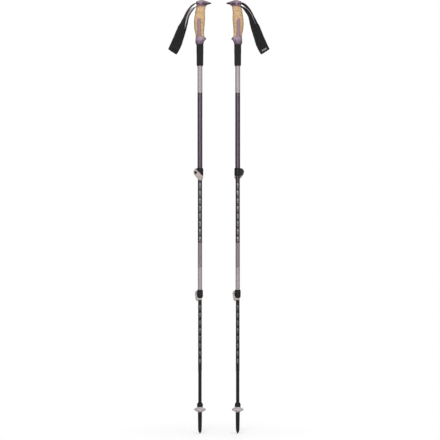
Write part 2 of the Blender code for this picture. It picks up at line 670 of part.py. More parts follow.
def lock_clamp(prefix, frame, size, r_top, r_bottom, neck):
    """Split collar with a pair of ears."""
    s = size
    seat = SEAT * s
    foot = (NECK_FOOT if neck else CLAMP_FOOT) * s
    neck_points = [(9.6, -12.4), (8.7, NECK_FOOT)] if neck else []
    outside = [(9.0, CLAMP_TOP), (CLAMP_RADIUS, 12.6), (CLAMP_RADIUS, -9.4),
               (10.0, CLAMP_FOOT)] + neck_points
    clamp = turned(prefix + "clamp", [
        (r_top + GAP, CLAMP_TOP * s), *scaled(outside, s), (r_bottom + GAP, foot),
        (r_bottom + GAP, seat), (r_top + GAP, seat)], frame, ring=True)
    ears = rod(prefix + "ears", EAR_RADIUS * s, -EAR_HALF * s, EAR_HALF * s,
               EAR_X * s, EAR_Z * s, frame, 28)
    bevel(ears, 0.8 * s, segments=1, angle=60)
    boolean(ears, block(prefix + "trim", (0.5 * s, 14 * s), (-12 * s, 12 * s),
                        (-20 * s, 20 * s), frame))
    core = EAR_CORE * s
    boolean(ears, turned(prefix + "ear_core", [(0, 30), (core, 30), (core, -30), (0, -30)],
                         frame, True))
    boolean(clamp, ears, 'UNION')
    boolean(clamp, block(prefix + "slit", (-25 * s, -r_bottom * 0.75),
                         (-SLIT_HALF * s, SLIT_HALF * s), (-20 * s, 24 * s), frame))
    boolean(clamp, bolt_rod(prefix + "ear_hole", BOLT_HOLE, -12 * s, 12 * s, s, frame))
    boolean(clamp, bolt_rod(prefix + "nut_pocket", NUT_RADIUS * s + 0.35, NUT_Y * s, 12 * s,
                            s, frame, 6))
    finish(clamp, "lock_clamp", (0, 0, 0))


def lock_cam(prefix, frame, size):
    """Disc between the ears and the lever."""
    cam = bolt_rod(prefix + "cam", CAM_RADIUS * size, LEVER_IN * size + GAP,
                   -EAR_HALF * size - GAP, size, frame, 24, False)
    boolean(cam, bolt_rod(prefix + "cam_hole", BOLT_HOLE, -14, -6, size, frame))
    finish(cam, "lock_cam", (PIVOT_X * size, 0, 0))


def lock_lever(prefix, frame, size, r_bottom):
    """Lever plate, with a saddle at its lower end that reaches round the tube."""
    s = size
    lever = plate(prefix + "lever", scaled(LEVER, s), LEVER_OUT * s, LEVER_IN * s, frame)
    bevel(lever, 1.3 * s, segments=2, angle=40)
    arc = [(PIVOT_X * s + SWEEP * s * math.cos(math.radians(a)),
            SWEEP * s * math.sin(math.radians(a))) for a in SWEEP_ANGLES]
    saddle = plate(prefix + "saddle", arc + scaled(LEVER[5:9], s), -12.6 * s, 7.0 * s,
                   frame, True)
    wrap = r_bottom + 1.6
    boolean(saddle, turned(prefix + "wrap", [(0, 10), (wrap, 10), (wrap, -40), (0, -40)],
                           frame, True))
    boolean(lever, saddle, 'UNION')
    # the outer face rolls in towards the pole at both ends
    boolean(lever, plate(prefix + "roll", scaled(ROLL, s), -30 * s, 24 * s,
                         frame @ Matrix.Rotation(-math.pi / 2, 4, 'Z'), True), 'INTERSECT')
    # seat of the bolt head and hole for the shank
    boolean(lever, bolt_rod(prefix + "head_seat", BOLT_HEAD * s + 0.5, -20 * s, -14.6 * s,
                            s, frame, 24))
    boolean(lever, bolt_rod(prefix + "lever_hole", BOLT_HOLE + 0.1, -20 * s, -8 * s,
                            s, frame))
    finish(lever, "lock_lever", (PIVOT_X * s, 0, 0))


def lock_bolt(prefix, frame, size):
    """Round head with a hexagon socket, and its shank."""
    s = size
    bolt = bolt_rod(prefix + "bolt", BOLT_HEAD * s, -18.2 * s, -15.0 * s, s, frame, 24, False)
    bevel(bolt, 0.5, segments=1, angle=60)
    boolean(bolt, bolt_rod(prefix + "shank", SHANK, -15.6 * s, 10.6 * s, s, frame), 'UNION')
    boolean(bolt, bolt_rod(prefix + "socket", SOCKET * s, -20 * s, -16.4 * s, s, frame, 6))
    finish(bolt, "lock_bolt", (PIVOT_X * s, 0, 0))


def lock_nut(prefix, frame, size):
    nut = bolt_rod(prefix + "nut", NUT_RADIUS * size, NUT_Y * size + GAP, 10.2 * size,
                   size, frame, 6, False)
    boolean(nut, bolt_rod(prefix + "nut_hole", BOLT_HOLE, 4 * size, 14 * size, size, frame))
    finish(nut, "lock_nut", (PIVOT_X * size, 0, 0))


def lock(prefix, pole_frame, z_bolt, size, r_top, r_bottom, neck=False):
    """External lever lock between tubes of radius r_top and r_bottom."""
    frame = pole_frame @ Matrix.Translation((0, 0, z_bolt * MM))
    lock_clamp(prefix, frame, size, r_top, r_bottom, neck)
    lock_cam(prefix, frame, size)
    lock_lever(prefix, frame, size, r_bottom)
    lock_bolt(prefix, frame, size)
    lock_nut(prefix, frame, size)


# ---------------------------------------------------------------- tubes and foot
# tube profiles: (radius, z)
TUBES = {
    "upper_shaft": [(B_UPPER, Z_TUBE_TOP), (R_UPPER, Z_TUBE_TOP),
                    (R_UPPER, Z_UPPER_SEAT + GAP), (B_UPPER, Z_UPPER_SEAT + GAP)],
    "middle_shaft": [(B_MIDDLE, Z_MIDDLE_TOP), (R_MIDDLE, Z_MIDDLE_TOP),
                     (R_MIDDLE, Z_LOWER_SEAT + GAP), (B_MIDDLE, Z_LOWER_SEAT + GAP)],
    "lower_shaft": [(B_LOWER, Z_LOWER_TOP), (R_LOWER, Z_LOWER_TOP),
                    (R_LOWER, Z_STEP + STEP_HEIGHT), (R_LOWER_END, Z_STEP),
                    (R_LOWER_END, Z_LOWER_END), (B_LOWER, Z_LOWER_END)],
}
# open socket for the tube above, hole for the hard tip below: (radius, z)
FERRULE = [
    (0, 74.0), (5.8, 74.0), (5.8, 99.6), (6.9, 99.6), (8.0, 98.0), (9.0, 95.4),
    (9.6, 92.2), (9.8, 89.4), (9.4, 86.4), (7.0, 86.0), (7.0, 69.0), (6.7, 66.0),
    (6.5, 48.0), (6.2, 30.0), (5.9, 16.0), (5.4, 9.0), (4.5, 5.4), (3.7, 4.0),
    (2.9, 4.0), (2.9, 18.0), (0, 18.0),
]
TIP = [(0, 17.6), (2.1, 17.6), (2.6, 17.0), (2.6, 2.6), (2.1, 0.0), (0, 0.0)]
BASKET = [
    (7.35, 85.4), (8.6, 85.4), (9.7, 83.8), (12.5, 82.2), (15.4, 81.0), (17.6, 79.7),
    (18.8, 78.1), (19.0, 76.8), (18.6, 75.3), (17.2, 73.9), (14.4, 72.8), (11.5, 71.6),
    (9.6, 70.2), (9.0, 69.2), (7.35, 69.2),
]


def turned_piece(prefix, kind, profile, frame, seg=SEG, ring=False):
    finish(turned(prefix + kind, profile, frame, seg=seg, ring=ring), kind)


def pole(prefix, frame, lower_turn):
    """One pole; lower_turn is the turn of its lower lock about the shaft."""
    grip(prefix, frame)
    stations = dense(STRAP)
    rings = band_rings(stations)
    wrist_strap(prefix, frame, rings)
    strap_lining(prefix, frame, stations, rings)
    for kind, profile in TUBES.items():
        turned_piece(prefix, kind, profile, frame, ring=True)
    plug(prefix, "middle_plug", frame, R_MIDDLE, B_MIDDLE, Z_MIDDLE_TOP, PLUG_HEAD)
    plug(prefix, "lower_plug", frame, R_LOWER, B_LOWER, Z_LOWER_TOP, PLUG_HEAD)
    lock(prefix + "upper_", frame, Z_UPPER_LOCK, S_UPPER, R_UPPER, R_MIDDLE)
    lock(prefix + "lower_", frame @ Matrix.Rotation(lower_turn, 4, 'Z'), Z_LOWER_LOCK,
         S_LOWER, R_MIDDLE, R_LOWER, neck=True)
    turned_piece(prefix, "ferrule", FERRULE, frame)
    turned_piece(prefix, "carbide_tip", TIP, frame, seg=SMALL_SEG)
    turned_piece(prefix, "basket", BASKET, frame, ring=True)


# Both lower locks face the same way: lever to -X, ears to +Y.
LEFT = Matrix.Translation((-SPACING / 2 * MM, 0, 0))
RIGHT = Matrix.Translation((SPACING / 2 * MM, 0, 0)) @ Matrix.Rotation(math.pi, 4, 'Z')
pole("left_", LEFT, -math.pi / 2)
pole("right_", RIGHT, math.pi / 2)
bpy.context.view_layer.update()
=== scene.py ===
"""Looks for a pair of trekking poles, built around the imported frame.

Lengths are millimetres in each pole's own frame: the shaft stands on local Z
with its tip at 0, the head's beak points to local +X and the wrist strap hangs
on the -X side.  The left pole stands at world -X; the right pole is the left
one turned half a turn, so both beaks point at the plane between the poles.
The viewer looks along world +Y.
"""

import math
from bisect import bisect_right
from collections import namedtuple

import bmesh
import bpy
from mathutils import Matrix, Vector


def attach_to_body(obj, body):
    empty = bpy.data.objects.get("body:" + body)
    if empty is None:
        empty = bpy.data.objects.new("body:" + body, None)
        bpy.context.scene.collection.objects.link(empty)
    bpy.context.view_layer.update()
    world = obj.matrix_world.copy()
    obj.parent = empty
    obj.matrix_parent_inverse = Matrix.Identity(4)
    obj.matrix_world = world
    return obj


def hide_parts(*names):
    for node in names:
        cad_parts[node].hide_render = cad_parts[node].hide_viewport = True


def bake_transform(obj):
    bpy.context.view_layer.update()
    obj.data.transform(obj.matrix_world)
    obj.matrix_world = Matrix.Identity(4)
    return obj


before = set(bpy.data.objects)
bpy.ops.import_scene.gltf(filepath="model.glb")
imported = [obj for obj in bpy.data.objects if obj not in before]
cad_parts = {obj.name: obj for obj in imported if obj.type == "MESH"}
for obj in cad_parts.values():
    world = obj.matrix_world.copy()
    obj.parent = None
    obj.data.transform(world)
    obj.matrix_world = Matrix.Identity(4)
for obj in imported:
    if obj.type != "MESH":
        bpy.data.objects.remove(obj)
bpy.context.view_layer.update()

# ------------------------------------------------------------------ dimensions
MM = 0.001                      # one millimetre in scene units
POLE_X = 61.0                   # from the plane between the poles to a shaft
POLES = {
    "left": Matrix.Translation((-POLE_X * MM, 0, 0)),
    "right": Matrix.Translation((POLE_X * MM, 0, 0)) @ Matrix.Rotation(math.pi, 4, 'Z'),
}
VIEWER_Y = {"left": -1.0, "right": 1.0}      # local Y sign that faces the viewer
LOWER_LOCK_TURN = {"left": -math.pi / 2, "right": math.pi / 2}

UPPER_LOCK_Z, LOWER_LOCK_Z = 842.3, 450.2
UPPER_LOCK_SCALE, LOWER_LOCK_SCALE = 1.0, 0.9
LOCK_SEAT = 2.9                 # bore step above a lock's centre, at scale 1
UPPER_RADIUS, MIDDLE_RADIUS, LOWER_RADIUS = 8.0, 7.0, 6.0
TUBE_WALL = 0.7                 # upper and middle tubes
TUBE_OVERLAP = 90.0             # how far a tube reaches above the seat of its lock
CLEARANCE = 0.3                 # between a tube and its lock

GRIP_BORE = 8.3
OVAL_POWER = 2.25               # exponent of the grip's oval sections


# ------------------------------------------------------------------ materials
def srgb(red, green, blue):
    """0-255 display colour to the linear values a shader takes."""
    linear = []
    for level in (red, green, blue):
        level /= 255.0
        linear.append(level / 12.92 if level <= 0.04045 else ((level + 0.055) / 1.055) ** 2.4)
    return (*linear, 1.0)


def darker(colour, factor):
    return tuple(channel * factor for channel in colour[:3]) + (1,)


class Material:
    """A Principled material, with short ways to add nodes to it."""

    def __init__(self, name):
        self.material = bpy.data.materials.new(name)
        self.material.use_nodes = True
        self.tree = self.material.node_tree
        self.shader = self.tree.nodes["Principled BSDF"]
        coord = self.tree.nodes.new("ShaderNodeTexCoord")
        self.place = coord.outputs["Object"]
        self.uv = coord.outputs["UV"]

    def feed(self, node, key, value):
        """Links an output, sets a plain value, or leaves the input as it is for None."""
        if hasattr(value, "is_output"):
            self.tree.links.new(value, node.inputs[key])
        elif value is not None:
            node.inputs[key].default_value = value

    def node(self, kind, inputs, **settings):
        node = self.tree.nodes.new("ShaderNode" + kind)
        for key, value in settings.items():
            setattr(node, key, value)
        for key, value in inputs.items():
            self.feed(node, key, value)
        return node

    def math(self, operation, first, second=0.0, clamp=False):
        return self.node("Math", {0: first, 1: second}, operation=operation,
                         use_clamp=clamp).outputs[0]

    def axes(self, vector=None):
        """The X, Y and Z outputs of a vector, by default the place in the object."""
        return self.node("SeparateXYZ", {0: vector or self.place}).outputs

    def distance(self, x, y):
        return self.math('SQRT', self.math('ADD', self.math('MULTIPLY', x, x),
                                           self.math('MULTIPLY', y, y)))

    def noise(self, scale, detail=3.0, rough=0.5, place=None, output="Fac"):
        inputs = {"Scale": scale, "Detail": detail, "Roughness": rough,
                  "Vector": place or self.place}
        return self.node("TexNoise", inputs).outputs[output]

    def streaks(self, stretch, detail, rough):
        """Noise with its own scale along each axis."""
        mapping = self.node("Mapping", {"Scale": stretch, "Vector": self.place})
        return self.noise(1.0, detail, rough, mapping.outputs[0])

    def voronoi(self, scale, feature='F1', place=None, output="Distance"):
        inputs = {"Scale": scale, "Vector": place or self.place}
        return self.node("TexVoronoi", inputs, feature=feature).outputs[output]

    def ramp(self, factor, stops):
        """Colours from stops of (position, colour), lowest first."""
        node = self.node("ValToRGB", {"Fac": factor})
        elements = node.color_ramp.elements
        elements[0].position, elements[0].color = stops[0]
        elements[1].position, elements[1].color = stops[-1]
        for position, colour in stops[1:-1]:
            elements.new(position).color = colour
        return node.outputs["Color"]

    def mix(self, amount, under, over, blend='MIX'):
        return self.node("Mix", {0: amount, 6: under, 7: over}, data_type='RGBA',
                         blend_type=blend).outputs[2]

    def remap(self, value, span, to):
        keys = ("From Min", "From Max", "To Min", "To Max")
        return self.node("MapRange", {**dict(zip(keys, (*span, *to))), "Value": value}).outputs[0]

    def bump(self, height, distance, strength=1.0, under=None):
        inputs = {"Distance": distance, "Strength": strength, "Height": height, "Normal": under}
        return self.node("Bump", inputs).outputs[0]

    def soft_edge(self, radius):
        """Rounded look on crisp edges."""
        return self.node("Bevel", {"Radius": radius}, samples=4).outputs[0]

    def mottle(self, tone, other, scale, amount, detail=4, rough=0.6, span=(0.35, 0.65)):
        """Clouds of another colour."""
        clouds = self.noise(scale, detail, rough)
        return self.mix(self.remap(clouds, span, to=(0.0, amount)), tone, other)

    def scuffs(self, low, high):
        """Roughness that varies in short upright streaks."""
        streaks = self.streaks((900, 900, 60), detail=6, rough=0.7)
        return self.remap(streaks, (0.3, 0.7), to=(low, high))

    def moulded(self, grain, edge, depth=0.00006):
        """Normal of fine-grained plastic with soft edges."""
        return self.bump(self.voronoi(grain, 'SMOOTH_F1'), depth, 0.5, self.soft_edge(edge))

    def rubbery(self, grain, edge, waves):
        """Normal of rubber: a fine grain over weaker, wider waves."""
        fine = self.bump(grain, distance=0.00010, strength=0.5, under=self.soft_edge(edge))
        return self.bump(self.noise(scale=240, detail=2), distance=0.00012, strength=waves,
                         under=fine)

    def patchy_rough(self, low, high):
        return self.remap(self.noise(scale=35, detail=3, rough=0.6), (0.3, 0.7), to=(low, high))

    def height_ramp(self, base, top, stops):
        """Colour by height: stops are (height in mm, colour), lowest first."""
        factor = self.remap(self.axes()[2], (base * MM, top * MM), to=(0.0, 1.0))
        return self.ramp(factor, [((z - base) / (top - base), colour) for z, colour in stops])

    def near_middle(self, near, far):
        """1 within `near` mm of the plane between the poles, 0 beyond `far` mm."""
        return self.remap(self.math('ABSOLUTE', self.axes()[0]), (near * MM, far * MM),
                          to=(1.0, 0.0))

    def turned_away(self, tone, depth, start=0.35):
        """Darkens where the surface turns from the eye, as dark flags beside it would."""
        facing = self.node("LayerWeight", {"Blend": 0.5}).outputs["Facing"]
        return self.mix(self.remap(facing, (start, 0.95), to=(0.0, depth)), tone,
                        (0.03, 0.025, 0.03, 1))

    def finish(self, colour, rough, normal=None, metal=0.0, **other):
        """Feeds the shader; other inputs are named with _ for each space."""
        inputs = {"Base Color": colour, "Roughness": rough, "Metallic": metal, "Normal": normal}
        inputs.update({key.replace("_", " "): value for key, value in other.items()})
        for key, value in inputs.items():
            self.feed(self.shader, key, value)
        return self.material


def cork_material():
    mat = Material("cork")
    # a fine noise shifts the place, so the cell walls waver
    warp = mat.noise(scale=260, detail=3, rough=0.6, output="Color")
    shift = mat.node("VectorMath", {0: warp, 3: 0.0016}, operation='SCALE').outputs[0]
    place = mat.node("VectorMath", {0: mat.place, 1: shift}, operation='ADD').outputs[0]
    cell_scale = 430
    cells = mat.voronoi(cell_scale, 'F1', place, "Color")
    cell_tone = mat.node("SeparateColor", {0: cells}).outputs[0]
    tone = mat.ramp(cell_tone, [(0.0, srgb(196, 156, 112)), (0.45, srgb(225, 186, 139)),
                                (1.0, srgb(240, 207, 163))])
    wall = mat.voronoi(cell_scale, 'DISTANCE_TO_EDGE', place)
    seam = mat.ramp(wall, [(0.0, (0.55, 0.55, 0.55, 1)), (0.09, (1, 1, 1, 1))])
    tone = mat.mix(0.45, tone, seam, 'MULTIPLY')
    # dark flecks and pits, larger and scarcer
    spots = mat.voronoi(scale=190, place=place)
    patches = mat.noise(scale=90, detail=2)
    flecks = mat.math('MULTIPLY', mat.remap(spots, (0.12, 0.26), to=(1.0, 0.0)),
                      mat.remap(patches, (0.52, 0.60), to=(0.0, 1.0)), clamp=True)
    tone = mat.mix(flecks, tone, srgb(126, 88, 58))
    tone = mat.mottle(tone, srgb(178, 130, 84), scale=28, amount=0.20, detail=3, rough=0.5,
                      span=(0.35, 0.7))
    tone = mat.turned_away(tone, depth=0.46, start=0.40)
    normal = mat.bump(wall, distance=0.00035, strength=0.5)
    normal = mat.bump(mat.math('SUBTRACT', 1.0, flecks), distance=0.0005, strength=0.8,
                      under=normal)
    normal = mat.bump(mat.noise(scale=1800, detail=2, rough=0.6), distance=0.00008,
                      strength=0.6, under=normal)
    return mat.finish(tone, mat.remap(patches, (0.3, 0.7), to=(0.72, 0.92)), normal)


def plastic_material(name, base, dark, rough, grain=2600.0, edge=0.00035, depth=0.00005,
                     coat=0.0, gloss=0.5):
    mat = Material(name)
    tone = mat.mottle(base, dark, scale=45, amount=0.30)
    return mat.finish(tone, mat.scuffs(rough - 0.06, rough + 0.1),
                      mat.moulded(grain, edge, depth), Coat_Weight=coat,
                      Specular_IOR_Level=gloss)


def head_material():
    mat = Material("head_plastic")
    # colour by height paints light and shade: a painted highlight band on the rim's upper shoulder,
    # a lighter top where the top light falls, and painted shade in the groove round the top boss;
    # the band over the rim's lower part and under it is darker
    tone = mat.height_ramp(1375.0, 1400.5, [
        (1376, srgb(150, 119, 124)), (1383.4, srgb(140, 110, 118)), (1384.6, srgb(80, 53, 72)),
        (1389.0, srgb(80, 53, 72)), (1391.2, srgb(140, 114, 130)), (1395.6, srgb(150, 126, 140)),
        (1396.9, srgb(96, 76, 90)), (1397.6, srgb(150, 124, 140)), (1400, srgb(172, 146, 160))])
    # painted shade: the beak, which juts sideways towards the plane between the poles, is darkened
    tone = mat.mix(mat.near_middle(28.0, 39.0), tone, srgb(40, 33, 38))
    tone = mat.mottle(tone, srgb(88, 66, 80), scale=45, amount=0.22)
    tone = mat.turned_away(tone, depth=0.68)
    return mat.finish(tone, mat.scuffs(0.28, 0.42), mat.moulded(grain=2200, edge=0.0006),
                      Coat_Weight=0.25, Coat_Roughness=0.25)


def collar_material():
    mat = Material("collar_rubber")
    # colour by height paints light and shade: a painted highlight on the upper collar and painted
    # shade deepening towards its slanted foot
    tone = mat.height_ramp(1250.0, 1285.0, [
        (1255, srgb(84, 66, 80)), (1259.0, srgb(100, 80, 97)), (1261.4, srgb(114, 92, 111)),
        (1267, srgb(130, 105, 126)), (1273, srgb(170, 144, 164)), (1281, srgb(178, 152, 170))])
    # painted shade: the collar's spur, which juts sideways towards the plane between the poles, is
    # darkened
    tone = mat.mix(mat.near_middle(42.5, 48.0), tone, srgb(74, 60, 70))
    tone = mat.mottle(tone, srgb(110, 88, 104), scale=60, amount=0.22)
    tone = mat.turned_away(tone, depth=0.75, start=0.25)
    normal = mat.rubbery(mat.noise(scale=1700, detail=2), edge=0.0006, waves=0.2)
    return mat.finish(tone, mat.patchy_rough(0.34, 0.5), normal, Coat_Weight=0.15,
                      Coat_Roughness=0.3)


def tongue_material():
    """Rubber stripe, with painted shade along both of its long sides in place of a recess."""
    mat = Material("tongue_rubber")
    middle_x = POLE_X - TONGUE_X
    across = mat.math('ABSOLUTE', mat.math('SUBTRACT', mat.math('ABSOLUTE', mat.axes()[0]),
                                           middle_x * MM))
    # painted shade along both long sides of the stripe
    sides = mat.remap(across, (3.6 * MM, 6.4 * MM), to=(0.0, 0.85))
    tone = mat.mottle(srgb(162, 133, 138), srgb(142, 114, 120), scale=60, amount=0.3)
    tone = mat.mix(sides, tone, srgb(128, 95, 100))
    grain = mat.noise(scale=1700, detail=2)
    tone = mat.mix(mat.remap(grain, (0.4, 0.6), to=(0.0, 0.12)), tone, srgb(122, 96, 102))
    normal = mat.rubbery(grain, edge=0.0005, waves=0.25)
    return mat.finish(tone, mat.patchy_rough(0.48, 0.65), normal, Sheen_Weight=0.15)


def foam_material():
    mat = Material("foam")
    cells = mat.voronoi(scale=1150)
    big_cells = mat.voronoi(scale=520)
    tone = mat.ramp(cells, [(0.0, srgb(25, 25, 25)), (0.5, srgb(41, 41, 41)),
                            (1.0, srgb(56, 56, 55))])
    tone = mat.mottle(tone, srgb(34, 34, 34), scale=40, amount=0.3, detail=3, rough=0.5,
                      span=(0.4, 0.7))
    normal = mat.bump(cells, distance=0.00035, strength=0.8)
    normal = mat.bump(big_cells, distance=0.0003, strength=0.35, under=normal)
    normal = mat.bump(mat.noise(scale=90), distance=0.0004, strength=0.25, under=normal)
    return mat.finish(tone, 0.93, normal, Specular_IOR_Level=0.3)


def webbing_material(name, base, light, pitch=1.0, sheen=0.08, painted_glow=0.0):
    """Woven band: u across and v along it, in metres."""
    mat = Material(name)
    across, along = mat.axes(mat.uv)[:2]
    wave = 2 * math.pi / (0.0011 * pitch)
    warp = mat.math('SINE', mat.math('MULTIPLY', across, wave))
    # herringbone: the weft phase flips from one warp column to the next
    column = mat.math('SIGN', warp)
    phase = mat.math('ADD', mat.math('MULTIPLY', along, wave * 0.8),
                     mat.math('MULTIPLY', column, 1.6))
    weft = mat.math('SINE', phase)
    cloth = mat.math('MULTIPLY', mat.math('ABSOLUTE', warp),
                     mat.remap(weft, (-1, 1), to=(0.35, 1.0)))
    fuzz = mat.noise(scale=2500, detail=2, rough=0.6)
    tone = mat.mix(mat.remap(cloth, (0.0, 1.0), to=(0.0, 1.0)), base, light)
    tone = mat.mottle(tone, base, scale=55, amount=0.25, detail=3, rough=0.5, span=(0.35, 0.7))
    normal = mat.bump(cloth, distance=0.00022, strength=0.9)
    normal = mat.bump(fuzz, distance=0.00006, strength=0.6, under=normal)
    # painted glow: emission that lifts the pale, thin band out of the shade of the strand beside it
    emission = {"Emission_Color": tone, "Emission_Strength": painted_glow} if painted_glow else {}
    return mat.finish(tone, 0.88, normal, Sheen_Weight=sheen, Specular_IOR_Level=0.25, **emission)


def thread_material(name, base):
    mat = Material(name)
    fibres = mat.noise(scale=3000, detail=2, rough=0.6)
    tone = mat.mix(mat.remap(fibres, (0.3, 0.7), to=(0.0, 0.5)), base, darker(base, 0.4))
    return mat.finish(tone, 0.8, mat.bump(fibres, distance=0.00005, strength=0.6))


def tube_material(name, bands, edge_dark):
    """Anodised tube with fine drawn lines along it.

    bands are (height in mm it starts at, colour, roughness, metallic), lowest first.
    """
    mat = Material(name)
    z = mat.axes()[2]

    def switch(value, above, new):
        """`value` below the band's start, `new` above it."""
        kept = mat.math('MULTIPLY', value, mat.math('SUBTRACT', 1.0, above))
        return mat.math('ADD', kept, mat.math('MULTIPLY', above, new))

    _, colour, band_rough, band_metal = bands[0]
    source = mat.node("RGB", {})
    source.outputs[0].default_value = colour
    tone = source.outputs[0]
    rough = mat.math('ADD', band_rough, 0.0)
    metal = mat.math('ADD', band_metal, 0.0)
    for start, colour, band_rough, band_metal in bands[1:]:
        above = mat.math('GREATER_THAN', z, start * MM)
        tone = mat.mix(above, tone, colour)
        rough = switch(rough, above, band_rough)
        metal = switch(metal, above, band_metal)
    lines = mat.streaks((1400, 1400, 14), detail=3, rough=0.6)
    dark = mat.mix(1.0, tone, (0.72, 0.72, 0.74, 1), 'MULTIPLY')
    tone = mat.mix(mat.remap(lines, (0.35, 0.65), to=(0.0, 0.22)), tone, dark)
    tone = mat.mottle(tone, dark, scale=16, amount=0.15, rough=0.5, span=(0.4, 0.7))
    tone = mat.turned_away(tone, edge_dark)
    scratches = mat.streaks((260, 260, 3), detail=2, rough=0.5)
    rough = mat.math('ADD', rough, mat.remap(scratches, (0.3, 0.7), to=(-0.05, 0.08)))
    normal = mat.bump(lines, distance=0.00001, strength=0.6, under=mat.soft_edge(0.0003))
    return mat.finish(tone, rough, normal, metal)


def basket_material():
    """Moulded plastic, greyed and scuffed towards the rim of the disc."""
    mat = Material("basket_plastic")
    place = mat.axes()
    from_shaft = mat.math('SUBTRACT', mat.math('ABSOLUTE', place[0]), POLE_X * MM)
    radius = mat.distance(from_shaft, place[1])
    tone = mat.mottle(srgb(220, 210, 211), srgb(200, 189, 191), scale=45, amount=0.3)
    rim = mat.remap(radius, (15.5 * MM, 19.0 * MM), to=(0.0, 0.3))
    patches = mat.remap(mat.noise(scale=160, detail=3, rough=0.6), (0.3, 0.7), to=(0.6, 1.3))
    worn = mat.math('MULTIPLY', rim, patches, clamp=True)
    tone = mat.mix(worn, tone, srgb(138, 130, 133))
    tone = mat.turned_away(tone, depth=0.40)
    return mat.finish(tone, mat.scuffs(0.32, 0.5), mat.moulded(grain=1800, edge=0.0006),
                      Coat_Weight=0.1)


def metal_material(name, base, rough, metal=1.0):
    mat = Material(name)
    lines = mat.streaks((900, 900, 5200), detail=4, rough=0.6)
    tone = mat.mix(mat.remap(lines, (0.35, 0.65), to=(0.0, 0.45)), base, darker(base, 0.6))
    normal = mat.bump(lines, distance=0.00002, strength=0.6, under=mat.soft_edge(0.00025))
    patches = mat.noise(scale=400, detail=3, rough=0.6)
    return mat.finish(tone, mat.remap(patches, (0.3, 0.7), to=(rough - 0.08, rough + 0.12)),
                      normal, metal)


def print_material(name, base):
    mat = Material(name)
    wear = mat.noise(scale=2600, detail=3, rough=0.7)
    tone = mat.mix(mat.remap(wear, (0.35, 0.75), to=(0.0, 0.35)), base, darker(base, 0.5))
    return mat.finish(tone, 0.5, mat.bump(wear, distance=0.00003, strength=0.4))


TONGUE_X = -2.5                 # middle line of the collar's tongues

MATERIALS = {
    "cork": cork_material(),
    "head": head_material(),
    "collar": collar_material(),
    "tongue": tongue_material(),
    "foam": foam_material(),
    "web": webbing_material("webbing", srgb(19, 19, 19), srgb(47, 47, 47)),
    # the lining's glow is painted light that brightens the strip where the outer strand shades it
    "lining": webbing_material("strap_lining", srgb(206, 194, 198), srgb(238, 230, 233),
                               pitch=0.7, sheen=0.1, painted_glow=0.28),
    "thread": thread_material("thread_dark", srgb(70, 70, 70)),
    "thread_light": thread_material("thread_light", srgb(196, 196, 194)),
    "upper": tube_material("upper_tube", [(0, srgb(96, 85, 94), 0.34, 0.72),
                                          (1101, srgb(184, 174, 178), 0.45, 0.25)],
                           edge_dark=0.35),
    "middle": tube_material("middle_tube", [(0, srgb(178, 167, 170), 0.45, 0.25),
                                            (536, srgb(146, 134, 139), 0.45, 0.3),
                                            (616, srgb(79, 71, 78), 0.34, 0.72)],
                            edge_dark=0.3),
    "lower": tube_material("lower_tube", [(0, srgb(27, 27, 27), 0.45, 0.3),
                                          (201, srgb(34, 34, 34), 0.4, 0.45)],
                           edge_dark=0.3),
    "black": plastic_material("black_plastic", srgb(27, 26, 25), srgb(19, 18, 18), rough=0.45,
                              grain=1900, gloss=0.28),
    "lever": plastic_material("lever_plastic", srgb(191, 179, 173), srgb(172, 161, 156),
                              rough=0.36, edge=0.0009, depth=0.00004, coat=0.1),
    "oxide": metal_material("black_oxide", srgb(34, 33, 33), rough=0.4, metal=0.3),
    "steel": metal_material("steel", srgb(196, 194, 190), rough=0.28),
    "ferrule": plastic_material("ferrule_plastic", srgb(28, 28, 28), srgb(19, 19, 19), rough=0.5,
                                grain=1500, gloss=0.25),
    "carbide": metal_material("hard_metal", srgb(98, 98, 100), rough=0.34),
    "basket": basket_material(),
    "pin": metal_material("pin_metal", srgb(204, 174, 194), rough=0.42, metal=0.35),
    "inner": plastic_material("plug_plastic", srgb(60, 60, 60), srgb(44, 44, 44), rough=0.55),
    "mark": print_material("scale_print", srgb(228, 224, 226)),
    "mark_dim": print_material("scale_print_dim", srgb(176, 176, 176)),
}


# ------------------------------------------------------------------ objects
def link_mesh(name, mesh):
    """Turns a bmesh into an object in the scene."""
    data = bpy.data.meshes.new(name)
    mesh.to_mesh(data)
    mesh.free()
    obj = bpy.data.objects.new(name, data)
    bpy.context.scene.collection.objects.link(obj)
    return obj


def face_outward(mesh):
    bmesh.ops.recalc_face_normals(mesh, faces=mesh.faces)
    if mesh.calc_volume(signed=True) < 0:
        bmesh.ops.reverse_faces(mesh, faces=mesh.faces)


def dress(obj, material, frame):
    """Moves the mesh from its own frame into the scene and gives it its material."""
    obj.data.transform(frame)
    obj.data.materials.append(MATERIALS[material])


def add_object(name, mesh, material, frame, sharp=38.0):
    """Smooth-shaded object; edges that turn by `sharp` degrees or more stay crisp."""
    face_outward(mesh)
    for face in mesh.faces:
        face.smooth = True
    for edge in mesh.edges:
        if len(edge.link_faces) == 2:
            edge.smooth = edge.calc_face_angle(0.0) < math.radians(sharp)
    obj = link_mesh(name, mesh)
    dress(obj, material, frame)
    return obj


def attach(obj, slot, body, replaces=True):
    """The object rides on its body, and can stand for the CAD node of its slot."""
    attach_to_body(obj, body)
    if replaces:
        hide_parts(slot)


def add_part(name, mesh, material, frame, slot, body, sharp=38.0, replaces=True):
    attach(add_object(name, mesh, material, frame, sharp), slot, body, replaces)


def baked(obj):
    """A bmesh of the object with its modifiers applied."""
    graph = bpy.context.evaluated_depsgraph_get()
    graph.update()
    data = bpy.data.meshes.new_from_object(obj.evaluated_get(graph))
    mesh = bmesh.new()
    mesh.from_mesh(data)
    bpy.data.meshes.remove(data)
    return mesh


